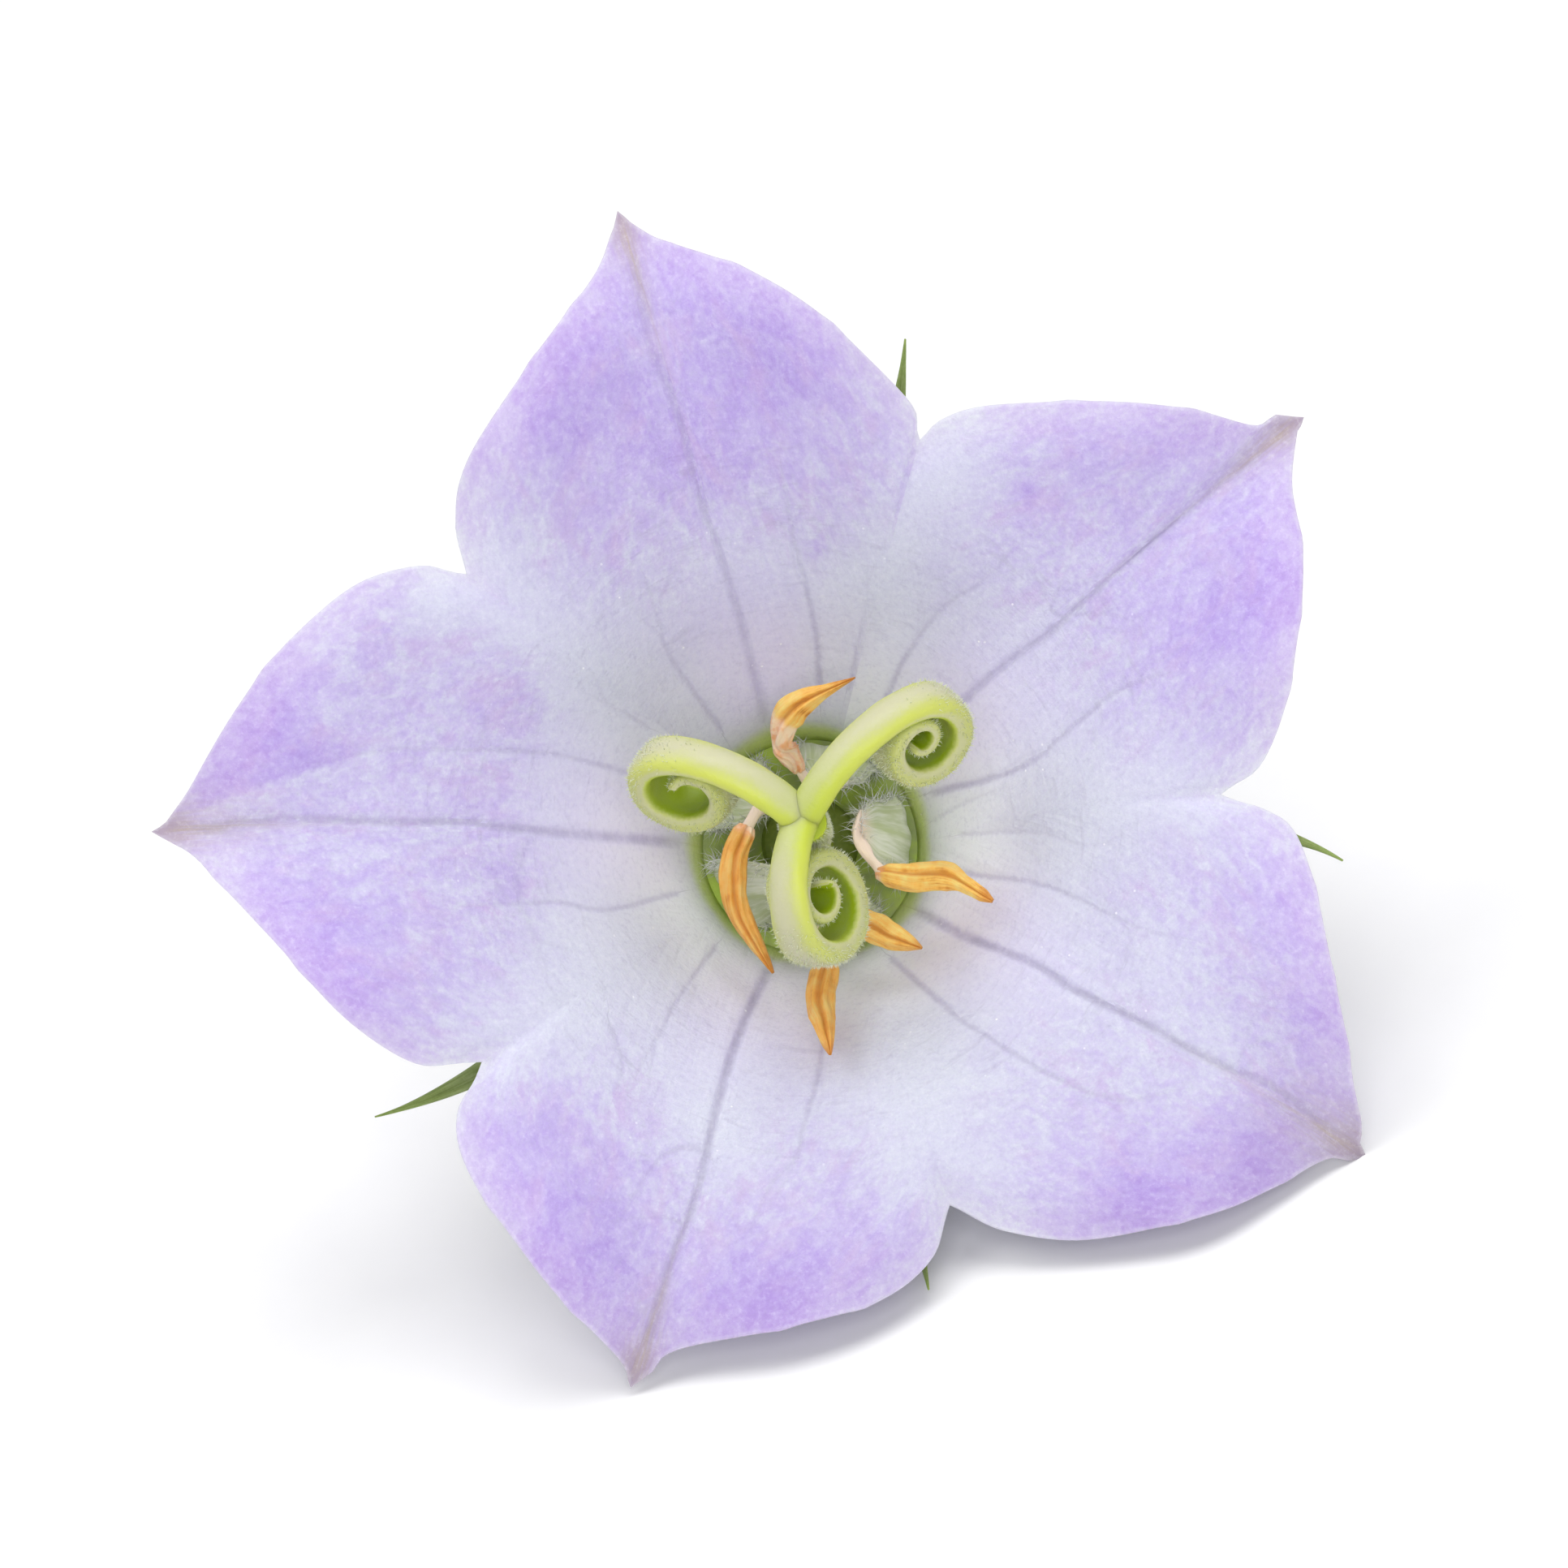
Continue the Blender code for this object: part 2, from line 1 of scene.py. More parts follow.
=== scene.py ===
# Looks of a picked bellflower bloom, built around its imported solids
import math
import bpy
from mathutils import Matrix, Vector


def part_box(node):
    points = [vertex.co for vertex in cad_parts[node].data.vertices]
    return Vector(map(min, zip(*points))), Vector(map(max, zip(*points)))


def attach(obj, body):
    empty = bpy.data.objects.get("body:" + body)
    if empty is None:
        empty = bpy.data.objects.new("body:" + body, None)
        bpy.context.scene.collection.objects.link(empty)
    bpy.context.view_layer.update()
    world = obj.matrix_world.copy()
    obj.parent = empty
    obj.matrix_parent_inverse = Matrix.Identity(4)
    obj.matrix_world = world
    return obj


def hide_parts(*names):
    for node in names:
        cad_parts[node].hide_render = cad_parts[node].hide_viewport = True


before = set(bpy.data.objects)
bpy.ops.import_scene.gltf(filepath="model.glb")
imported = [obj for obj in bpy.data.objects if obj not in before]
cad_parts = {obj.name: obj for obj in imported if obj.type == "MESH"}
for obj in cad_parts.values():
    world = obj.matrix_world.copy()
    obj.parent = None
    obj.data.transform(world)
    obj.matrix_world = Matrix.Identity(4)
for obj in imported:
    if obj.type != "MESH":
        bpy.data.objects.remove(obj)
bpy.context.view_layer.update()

from types import SimpleNamespace

import bpy
import numpy as np
from mathutils import Matrix, Vector

print("frame loaded:", len(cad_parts), "solids")

mm = 0.001

# How the bloom lies. Its own frame is in mm: the axis along +Z, the throat at Z = 0.
stance = {"lean": 52.0, "spin": -17.5, "discMiddle": 0.1, "styleFoot": 0.8}

leanTurn = Matrix.Rotation(math.radians(stance["lean"]), 3, "X")
bloomTurn = leanTurn @ Matrix.Rotation(math.radians(stance["spin"]), 3, "Z")
discLow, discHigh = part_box("nectary_disc")
bloomPlace = (discLow + discHigh) / 2 - bloomTurn @ Vector((0, 0, stance["discMiddle"] * mm))


def toWorld(points):
    return points @ np.array(bloomTurn).T * mm + np.array(bloomPlace)


# Small tools for shapes

def shares(count):
    return np.linspace(0.0, 1.0, count)


def smoothStep(values):
    held = np.clip(values, 0.0, 1.0)
    return held * held * (3 - 2 * held)


def bell(values, width):
    return np.exp(-((values / width) ** 2))


def profile(stops, at):
    return np.interp(at, *zip(*stops))


def unit(vectors):
    return vectors / np.linalg.norm(vectors, axis=-1, keepdims=True)


def polar(radius, bearing, height=0.0):
    return np.array((radius * np.cos(bearing), radius * np.sin(bearing), height))


def curveThrough(corners, count):
    # Catmull-Rom through the corners, read at even steps
    corners = np.array(corners, float)
    knots = np.vstack([2 * corners[0] - corners[1], corners, 2 * corners[-1] - corners[-2]])
    t = np.linspace(0, 1, 24, endpoint=False)[:, None]
    fine = []
    for a, b, c, d in zip(knots, knots[1:], knots[2:], knots[3:]):
        bend = (2 * a - 5 * b + 4 * c - d) * t**2 + (3 * b - a - 3 * c + d) * t**3
        fine.append((2 * b + (c - a) * t + bend) / 2)
    fine = np.vstack([*fine, corners[-1:]])
    steps = np.linalg.norm(np.diff(fine, axis=0), axis=1)
    travelled = np.concatenate([[0], np.cumsum(steps)])
    wanted = shares(count) * travelled[-1]
    return np.stack([np.interp(wanted, travelled, axis) for axis in fine.T], 1)


def ripples(places, seed, wavelength, count=7):
    # soft unevenness between about -1 and 1: a few seeded waves in all directions
    draw = np.random.default_rng(seed)
    total = 0
    for _ in range(count):
        way = unit(draw.normal(size=places.shape[-1]))
        pace = 2 * math.pi / (wavelength * draw.uniform(0.7, 1.5))
        total = total + np.sin(places @ way * pace + draw.uniform(0, 2 * math.pi))
    return total / math.sqrt(2 * count)


def sweep(path, facing, sideways, flatways):
    # rows of points round a path: sideways and flatways are rows x sides, in mm
    ahead = unit(np.gradient(path, axis=0))
    across = unit(np.cross(ahead, facing))
    flat = np.cross(across, ahead)
    return path[:, None] + across[:, None] * sideways[..., None] + flat[:, None] * flatways[..., None]


def aroundAngles(sides):
    return 2 * np.pi * np.arange(sides) / sides


def uprightSweep(path, radius, angle):
    # round rows about a path that runs up or down
    facing = np.broadcast_to((1.0, 0.0, 0.0), path.shape)
    return sweep(path, facing, radius * np.cos(angle), radius * np.sin(angle))


def placeFields(points):
    # "place": the share around, the mm along and the share along
    rows, sides = points.shape[:2]
    middle = points.mean(1)
    steps = np.linalg.norm(np.diff(middle, axis=0), axis=1)
    travelled = np.concatenate([[0], np.cumsum(steps)])
    near = np.zeros((rows, sides, 3))
    near[..., 0] = np.arange(sides) / sides
    near[..., 1] = travelled[:, None]
    near[..., 2] = travelled[:, None] / travelled[-1]
    far = near + np.array((1 / sides, 0, 0))
    return {"place": (near, far)}


def addCornerField(mesh, name, values):
    layer = mesh.attributes.new(name, "FLOAT_VECTOR", "CORNER")
    layer.data.foreach_set("vector", values.astype(np.float32).ravel())


def addPointField(mesh, name, values):
    layer = mesh.attributes.new(name, "FLOAT", "POINT")
    layer.data.foreach_set("value", values.astype(np.float32).ravel())


def gridMesh(name, points, closedRows=False, fields=None):
    # a closed skin over rows of rings. A field gives its values seen from a face's near and far column.
    rows, columns = points.shape[:2]
    r, c = np.meshgrid(np.arange(rows if closedRows else rows - 1), np.arange(columns), indexing="ij")
    r, c = r.ravel(), c.ravel()
    up, after = (r + 1) % rows, (c + 1) % columns
    faces = [r * columns + c, up * columns + c, up * columns + after, r * columns + after]
    faces = np.stack(faces, 1).tolist()
    if not closedRows:
        last = rows * columns - 1
        faces += [list(range(columns)), list(range(last, last - columns, -1))]
    mesh = bpy.data.meshes.new(name)
    mesh.from_pydata(toWorld(points.reshape(-1, 3)).tolist(), [], faces)
    for field, (near, far) in (fields or placeFields(points)).items():
        corners = np.stack([near[r, c], near[up, c], far[up, c], far[r, c]], 1).reshape(-1, 3)
        if not closedRows:
            corners = np.vstack([corners, near[0], near[-1][::-1]])
        addCornerField(mesh, field, corners)
    mesh.shade_smooth()
    return mesh


def newObject(name, data):
    made = bpy.data.objects.new(name, data)
    bpy.context.scene.collection.objects.link(made)
    return made


def joinMeshes(name, meshes):
    # several closed skins as one mesh
    holders = [newObject(name, mesh) for mesh in meshes]
    with bpy.context.temp_override(active_object=holders[0], selected_editable_objects=holders):
        bpy.ops.object.join()
    joined = holders[0].data
    bpy.data.objects.remove(holders[0])
    return joined


def addPiece(name, mesh, finish, nodes=()):
    piece = newObject(name, mesh)
    mesh.materials.clear()
    mesh.materials.append(finish)
    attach(piece, "root")
    if nodes:
        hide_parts(*nodes)
    return piece


# Shader maths

class Wire:
    # one socket of a node tree: sums and products on it add Math nodes
    def __init__(self, tree, socket=None):
        self.tree = tree
        self.socket = socket

    def add(self, kind, settings=None, values=None, out=0):
        # any other node: its settings first, then the values or links of its sockets
        node = self.tree.nodes.new(kind)
        for name, value in (settings or {}).items():
            setattr(node, name, value)
        for key, value in (values or {}).items():
            if isinstance(value, Wire):
                self.tree.links.new(value.socket, node.inputs[key])
            else:
                node.inputs[key].default_value = value
        return Wire(self.tree, node.outputs[out])

    def maths(self, operation, a, b=0.0):
        return self.add("ShaderNodeMath", {"operation": operation}, {0: a, 1: b})

    def __add__(self, other):
        return self.maths("ADD", self, other)

    def __sub__(self, other):
        return self.maths("SUBTRACT", self, other)

    def __rsub__(self, other):
        return self.maths("SUBTRACT", other, self)

    def __mul__(self, other):
        return self.maths("MULTIPLY", self, other)

    def __truediv__(self, other):
        return self.maths("DIVIDE", self, other)

    def __abs__(self):
        return self.maths("ABSOLUTE", self)

    def between(self, low, high):
        # 0 below low, 1 above high, smooth between; low may be the greater
        values = {"Value": self, "From Min": low, "From Max": high}
        return self.add("ShaderNodeMapRange", {"interpolation_type": "SMOOTHSTEP"}, values)

    def mix(self, first, second):
        # this socket is the share of the second colour
        return self.add("ShaderNodeMix", {"data_type": "RGBA"}, {0: self, 6: first, 7: second}, out=2)

    def ramp(self, *stops):
        # stops: (position, colour)
        made = self.add("ShaderNodeValToRGB", None, {0: self})
        elements = made.socket.node.color_ramp.elements
        elements.remove(elements[-1])
        elements[0].position, elements[0].color = stops[0]
        for position, colour in stops[1:]:
            elements.new(position).color = colour
        return made

    def layered(self, look, *layers):
        # this colour with others laid over it: (share, name of the tone in look)
        colour = self
        for share, name in layers:
            colour = share.mix(colour, look[name])
        return colour

    def parts(self):
        split = self.add("ShaderNodeSeparateXYZ", None, {0: self})
        outputs = split.socket.node.outputs
        return [Wire(self.tree, outputs[axis]) for axis in range(3)]

    def scaled(self, sizes):
        return self.add("ShaderNodeVectorMath", {"operation": "MULTIPLY"}, {0: self, 1: sizes})

    def vector(self, x, y, z):
        return self.add("ShaderNodeCombineXYZ", None, {0: x, 1: y, 2: z})

    def noise(self, at, scale, detail=3.0, roughness=0.5, distortion=0.0):
        # at: a place, or three wires for its axes
        place = at if isinstance(at, Wire) else self.vector(*at)
        values = {"Vector": place, "Scale": scale, "Detail": detail, "Roughness": roughness,
                  "Distortion": distortion}
        return self.add("ShaderNodeTexNoise", None, values)

    def attribute(self, name, out="Vector"):
        return self.add("ShaderNodeAttribute", {"attribute_name": name}, out=out)

    def here(self):
        # the place on the piece in mm
        return self.add("ShaderNodeTexCoord", out="Object").scaled((1000, 1000, 1000))

    def bump(self, height, strength, distance):
        # distance in mm
        values = {"Height": height, "Strength": strength, "Distance": distance * mm}
        return self.add("ShaderNodeBump", None, values)


def tone(red, green, blue):
    # a colour named by its screen values, 0 to 255
    def linear(value):
        value /= 255
        return value / 12.92 if value <= 0.04045 else ((value + 0.055) / 1.055) ** 2.4
    return (linear(red), linear(green), linear(blue), 1.0)


def startFinish(name, constants, soft=()):
    # soft: how much light spreads under the skin, how far in red, green and blue, and the scale in metres
    finish = bpy.data.materials.new(name)
    finish.use_nodes = True
    shader = finish.node_tree.nodes["Principled BSDF"]
    softSockets = ("Subsurface Weight", "Subsurface Radius", "Subsurface Scale")
    for socket, value in (*constants.items(), *zip(softSockets, soft)):
        shader.inputs[socket].default_value = value
    return finish, shader, Wire(finish.node_tree)


def feed(shader, socket, wire):
    wire.tree.links.new(wire.socket, shader.inputs[socket])


# Corolla: five lobes that open from one bowl

corolla = {
    "columns": 96,
    "rows": 84,
    "throatRadius": 3.6,
    "bowlDepth": 12.2,
    "bowlReach": 5.3,
    "recurveStart": 16.5,
    "recurve": 0.045,
    "lobeOpens": 0.45,
    "keelDepth": 0.45,
    "keelWidth": 0.22,
    "flankLift": 1.0,
    "waveHeight": 0.22,
    "waveCount": 2.5,
    "pleatDepth": 0.35,
    "wall": 0.65,
    "sheet": 0.32,
    "marginSheet": 0.15,
    "unevenness": 0.1,
    "grooveDepth": 0.07,
    "ridgeHeight": 0.14,
    "nickHeight": 0.06,
    "nickWidth": 0.45,
    "sinkTo": -0.85,
    "beakLength": 0.55,
    "footRadii": (3.95, 3.7),
}

# The outline of each lobe seen down the axis, in mm, counterclockwise from its first notch. "beak" is how
# far the tip is drawn out past that outline and "neck" how wide it is where it begins. "wave" shifts the
# waves of the flanks, "depth" adds pigment, and on the upper left lobe painted shade too, and "stripe" is
# how far the tan midrib fans out, in mm. "nicks" are places round the margin: 0 at the first notch, 1 at
# the tip and 2 at the second notch.
# Veins, blushes and folds are placed by (across, along): across is -1 at the first notch, 0 on the midrib
# and 1 at the second; along is 0 in the throat and 1 at the edge. A vein has its strength and width in mm,
# a blush its radius in mm and strength, and a fold its strength: a fold is painted shade on its outer side
# and painted light on the midrib's side, the light and shade of a crease.
lobes = {
    "upper_right": {
        "notch": (13.65, 0.87),
        "rising": ((15.05, 1.75), (16.05, 4.4), (16.5, 8.8), (16.25, 11.6)),
        "tip": (16.75, 13.75),
        "falling": ((15.3, 13.2), (13.0, 13.64), (10.8, 13.9), (8.3, 13.95), (5.6, 13.86), (4.2, 13.4)),
        "beak": 0.25, "neck": 0.24, "wave": 0.0, "depth": 0.06, "stripe": 0.9,
        "nicks": (0.3, 0.48, 0.68, 1.3, 1.62),
        "veins": (
            (((0.08, 0.05), (0.05, 0.28), (-0.04, 0.37), (-0.02, 0.5), (-0.01, 0.61), (-0.02, 0.8),
              (0, 1)), 0.75, 0.12),
            (((0.66, 0.08), (0.67, 0.25), (0.62, 0.38), (0.52, 0.46), (0.48, 0.56)), 0.68, 0.08),
            (((-0.5, 0.05), (-0.65, 0.27), (-0.54, 0.42), (-0.49, 0.52), (-0.5, 0.63)), 0.85, 0.09),
            (((0.0, 0.4), (0.15, 0.44), (0.22, 0.52)), 0.47, 0.06),
            (((-0.03, 0.42), (-0.15, 0.5), (-0.27, 0.6)), 0.41, 0.06),
            (((-0.8, 0.04), (-0.74, 0.14), (-0.74, 0.24)), 0.41, 0.06),
        ),
        "blushes": (
            (-0.4, 0.93, 2.4, 0.64), (-0.45, 0.76, 1.6, 0.4), (0.21, 0.95, 2.6, 0.1),
            (0.42, 0.92, 2.0, 0.14), (0.77, 0.84, 2.0, -0.25), (0.56, 0.725, 0.38, 1.0),
            (0.45, 0.7, 0.3, 0.4), (0.5, 0.68, 1.5, 0.12), (-0.26, 0.56, 1.6, 0.3),
        ),
        "folds": (((0.1, 0.99), (0.17, 0.92), (0.26, 0.78), 0.15),),
    },
    "upper_left": {
        "notch": (3.62, 12.75),
        "rising": ((3.42, 13.95), (1.05, 16.3), (-1.95, 18.35), (-3.8, 19.22), (-5.4, 19.85)),
        "tip": (-6.55, 20.7),
        "falling": ((-7.15, 18.75), (-9.08, 15.85), (-11.6, 11.85), (-12.0, 9.8)),
        # this lobe's depth and its blush at (-0.08, 0.56) are raised as painted shade: its bowl faces away
        # from the light
        "beak": 0.42, "neck": 0.28, "wave": 1.3, "depth": 0.14, "stripe": 0.75,
        "nicks": (0.35, 0.66, 0.84, 1.28, 1.45),
        "veins": (
            (((0.05, 0.04), (0.02, 0.2), (0.02, 0.3), (0.06, 0.48), (0.04, 0.6), (0.06, 0.75),
              (0.01, 0.9), (0, 1)), 0.6, 0.12),
            (((0.58, 0.08), (0.6, 0.29), (0.54, 0.36), (0.5, 0.44)), 0.61, 0.07),
            (((-0.66, 0.08), (-0.6, 0.22), (-0.52, 0.34), (-0.46, 0.44), (-0.43, 0.56)), 0.68, 0.08),
            (((-0.94, 0.15), (-0.92, 0.34), (-0.9, 0.46)), 0.47, 0.06),
            (((0.04, 0.46), (0.14, 0.5), (0.26, 0.53)), 0.34, 0.06),
        ),
        "blushes": (
            (0.36, 0.92, 2.2, 0.42), (0.48, 0.82, 1.3, 0.25), (-0.36, 0.86, 1.8, 0.3),
            (-0.55, 0.88, 1.8, 0.27), (-0.2, 0.98, 1.8, 0.3), (-0.42, 0.74, 0.9, 0.25),
            (0.84, 0.86, 1.8, -0.2), (-0.6, 0.43, 0.32, 0.8), (-0.08, 0.56, 2.4, 0.6),
            (-0.85, 0.7, 1.5, 0.25),
        ),
    },
    "left": {
        "notch": (-11.5, 8.25),
        "rising": ((-13.0, 8.6), (-15.3, 7.8), (-17.6, 5.85), (-19.5, 3.5), (-21.2, 0.85)),
        "tip": (-22.3, -0.34),
        "falling": ((-21.05, -1.05), (-19.65, -2.45), (-17.75, -4.4), (-15.4, -7.0), (-13.0, -8.4)),
        "beak": 0.3, "neck": 0.34, "wave": 2.1, "depth": 0.1, "stripe": 1.2,
        "nicks": (0.55, 0.93, 1.2, 1.5),
        "veins": (
            (((0.0, 0.04), (0.04, 0.2), (0.0, 0.34), (-0.05, 0.42), (-0.03, 0.55), (-0.04, 0.75),
              (0, 0.88), (0, 1)), 0.85, 0.13),
            (((-0.56, 0.1), (-0.5, 0.25), (-0.44, 0.38), (-0.36, 0.53), (-0.3, 0.66),
              (-0.22, 0.78)), 0.54, 0.07),
            (((0.6, 0.08), (0.6, 0.26), (0.49, 0.36), (0.46, 0.44), (0.42, 0.58)), 0.61, 0.07),
            (((0.1, 0.33), (0.3, 0.4), (0.46, 0.44), (0.62, 0.47), (0.8, 0.54), (0.92, 0.62)), 0.28, 0.13),
            (((-0.9, 0.24), (-0.86, 0.33), (-0.82, 0.42)), 0.41, 0.06),
        ),
        "blushes": (
            (-0.32, 0.95, 2.2, 0.5), (-0.4, 0.78, 1.6, -0.25), (0.5, 0.96, 1.6, 0.55),
            (0.36, 0.96, 1.6, 0.3), (0.62, 0.96, 1.5, 0.35), (-0.6, 0.5, 1.3, 0.4),
            # (-0.15, 0.41) and (0.3, 0.42) are painted shade along the bend from bowl to lobe
            (-0.15, 0.41, 1.2, 0.45), (0.3, 0.42, 1.2, 0.45), (0.0, 0.84, 1.7, -0.3),
            (-0.02, 0.66, 2.0, -0.1), (-0.78, 0.86, 1.6, -0.35), (-0.58, 0.94, 1.3, -0.3),
            (0.5, 0.7, 1.6, -0.05),
        ),
        "folds": (
            ((-0.06, 0.97), (-0.19, 0.79), (-0.34, 0.63), 0.32),
            ((0.12, 0.92), (0.33, 0.76), (0.38, 0.6), 0.12),
        ),
    },
    "lower": {
        "notch": (-10.95, -8.1),
        "rising": ((-11.85, -9.7), (-11.4, -11.8), (-9.2, -15.2), (-6.7, -17.8)),
        "tip": (-6.05, -19.25),
        "falling": ((-4.7, -17.88), (-0.75, -17.0), (2.5, -16.1), (4.15, -14.6)),
        "beak": 0.05, "neck": 0.34, "wave": 3.4, "depth": 0.06, "stripe": 0.9,
        "nicks": (0.4, 0.75, 1.42, 1.64),
        "veins": (
            (((-0.03, 0.04), (-0.08, 0.22), (-0.06, 0.36), (0.01, 0.53), (0.02, 0.62), (-0.02, 0.74),
              (0.01, 0.86), (0, 1)), 1.0, 0.12),
            (((-0.66, 0.08), (-0.58, 0.23), (-0.52, 0.35), (-0.48, 0.48)), 0.61, 0.07),
            (((-0.72, 0.46), (-0.56, 0.49), (-0.5, 0.56)), 0.47, 0.07),
            (((0.62, 0.12), (0.54, 0.34), (0.46, 0.49), (0.44, 0.57), (0.35, 0.63),
              (0.3, 0.74)), 0.68, 0.07),
            (((0.01, 0.49), (-0.12, 0.52), (-0.22, 0.6), (-0.24, 0.74)), 0.54, 0.07),
            (((0.0, 0.64), (-0.12, 0.69), (-0.26, 0.77)), 0.47, 0.06),
        ),
        "blushes": (
            (-0.33, 0.93, 2.6, 0.6), (-0.33, 0.74, 1.6, 0.25), (0.0, 0.98, 1.8, 0.4),
            (0.38, 0.95, 2.2, 1.0), (0.62, 0.85, 2.0, 0.4), (0.2, 0.55, 1.6, -0.22),
            (-0.64, 0.85, 1.8, 0.35), (-0.09, 0.42, 1.8, -0.3),
        ),
    },
    "lower_right": {
        "notch": (4.6, -12.8),
        "rising": ((6.4, -13.8), (9.6, -14.2), (14.0, -13.1), (17.4, -11.5)),
        "tip": (18.75, -11.45),
        "falling": ((18.66, -10.6), (18.2, -9.2), (17.65, -6.5), (16.9, -2.7), (16.15, -0.4), (15.1, 0.45)),
        "beak": 0.28, "neck": 0.46, "wave": 4.6, "depth": 0.03, "stripe": 1.5,
        "nicks": (0.52, 0.8, 1.26, 1.44, 1.66),
        "veins": (
            (((0.0, 0.03), (-0.05, 0.15), (0.01, 0.28), (-0.03, 0.36), (0.0, 0.48), (0.02, 0.66),
              (0.05, 0.8), (0, 1)), 1.0, 0.12),
            (((0.54, 0.08), (0.52, 0.31), (0.46, 0.43), (0.42, 0.52), (0.42, 0.62)), 0.68, 0.07),
            (((-0.62, 0.08), (-0.56, 0.28), (-0.49, 0.42), (-0.42, 0.56), (-0.33, 0.66),
              (-0.23, 0.69)), 0.74, 0.08),
            (((0.92, 0.12), (0.84, 0.3), (0.75, 0.42), (0.75, 0.52)), 0.41, 0.06),
            (((0.04, 0.72), (0.14, 0.75), (0.16, 0.8)), 0.41, 0.06),
        ),
        "blushes": (
            (-0.25, 0.96, 2.2, 0.85), (-0.52, 0.93, 2.0, 1.0), (0.33, 0.97, 2.0, 0.55),
            (0.6, 0.92, 1.6, 0.35), (0.1, 0.72, 2.4, -0.28), (0.3, 0.58, 1.6, -0.2),
            (-0.15, 0.86, 1.4, 0.25), (-0.75, 0.8, 1.8, -0.05),
        ),
    },
}


def lobeEdge():
    # the edge of the lobes as one ring of points, with the small nicks of their margins
    half = corolla["columns"] // 2 + 1
    order = list(lobes.values())
    ring = []
    for lobe, following in zip(order, order[1:] + order[:1]):
        way = unit(np.array(lobe["tip"]))
        tip = lobe["tip"] + way * lobe["beak"]
        neck = tip - way * corolla["beakLength"]
        aside = np.array((way[1], -way[0])) * lobe["neck"] / 2
        rising = curveThrough((lobe["notch"], *lobe["rising"], neck + aside, tip), half)[:-1]
        falling = curveThrough((tip, neck - aside, *lobe["falling"], following["notch"]), half)[:-1]
        margin = np.vstack([rising, falling])
        run = np.arange(len(margin)) / (half - 1)
        steps = np.linalg.norm(np.diff(margin, axis=0), axis=1).mean()
        width = corolla["nickWidth"] / (steps * (half - 1))
        heights = sum(bell(run - nick, width) for nick in lobe["nicks"]) * corolla["nickHeight"]
        ring.append(margin + unit(margin) * heights[:, None])
    return np.vstack(ring)


def corollaPlan():
    # rows x columns x 2: from the throat out to the edge, seen down the axis
    columns = corolla["columns"]
    edge = lobeEdge()
    bearings = np.arctan2(edge[::columns, 1], edge[::columns, 0])
    spans = (np.roll(bearings, -1) - bearings) % (2 * np.pi)
    number, step = np.divmod(np.arange(len(edge)), columns)
    bearing = bearings[number] + spans[number] * step / columns
    foot = corolla["throatRadius"] * np.stack([np.cos(bearing), np.sin(bearing)], 1)
    along = shares(corolla["rows"] + 1)[:, None, None]
    return foot + (edge - foot) * along


def corollaHeight(plan, across, along, wave):
    radius = np.linalg.norm(plan, axis=-1)
    rise = corolla["bowlDepth"] * (1 - np.exp((corolla["throatRadius"] - radius) / corolla["bowlReach"]))
    recurve = corolla["recurve"] * np.maximum(0, radius - corolla["recurveStart"]) ** 2
    opened = smoothStep((along - corolla["lobeOpens"]) / (1 - corolla["lobeOpens"]))
    keel = -corolla["keelDepth"] * bell(across, corolla["keelWidth"]) * opened
    waves = corolla["waveHeight"] * np.sin(corolla["waveCount"] * np.pi * across + wave)
    flank = np.sin(np.pi * np.abs(across)) ** 2 * opened**2 * (corolla["flankLift"] + waves)
    pleat = -corolla["pleatDepth"] / 2 * np.cos(np.pi * across) * np.sin(np.pi * along) ** 2
    uneven = corolla["unevenness"] * ripples(plan, 5, 5.0) * along
    return rise - recurve + keel + flank + pleat + uneven


def onLobe(plan, across, along):
    # the plan's point at a share across and along one lobe
    rows, columns = plan.shape[0] - 1, plan.shape[1] - 1
    column = min(max((across + 1) / 2, 0.0), 1.0) * columns
    row = min(max(along, 0.0), 1.0) * rows
    c, r = min(int(column), columns - 1), min(int(row), rows - 1)
    u, v = column - c, row - r
    low = plan[r, c] * (1 - u) + plan[r, c + 1] * u
    high = plan[r + 1, c] * (1 - u) + plan[r + 1, c + 1] * u
    return low * (1 - v) + high * v


# The drawn veins' unevenness, and the finer branches that leave them. "pull" is how much farther off, in
# mm, a strong vein still wins a face.
twigs = {
    "seed": 41,
    "jitter": 0.012,
    "turn": 0.15,
    "wander": 0.2,
    "pull": 0.12,
    "veinSteps": 21,
    "onMidrib": 5,
    "onOthers": 2,
    "steps": 4,
    "length": (1.2, 3.6),
    "strength": 0.22,
    "width": 0.06,
    "forkChance": 0.35,
}


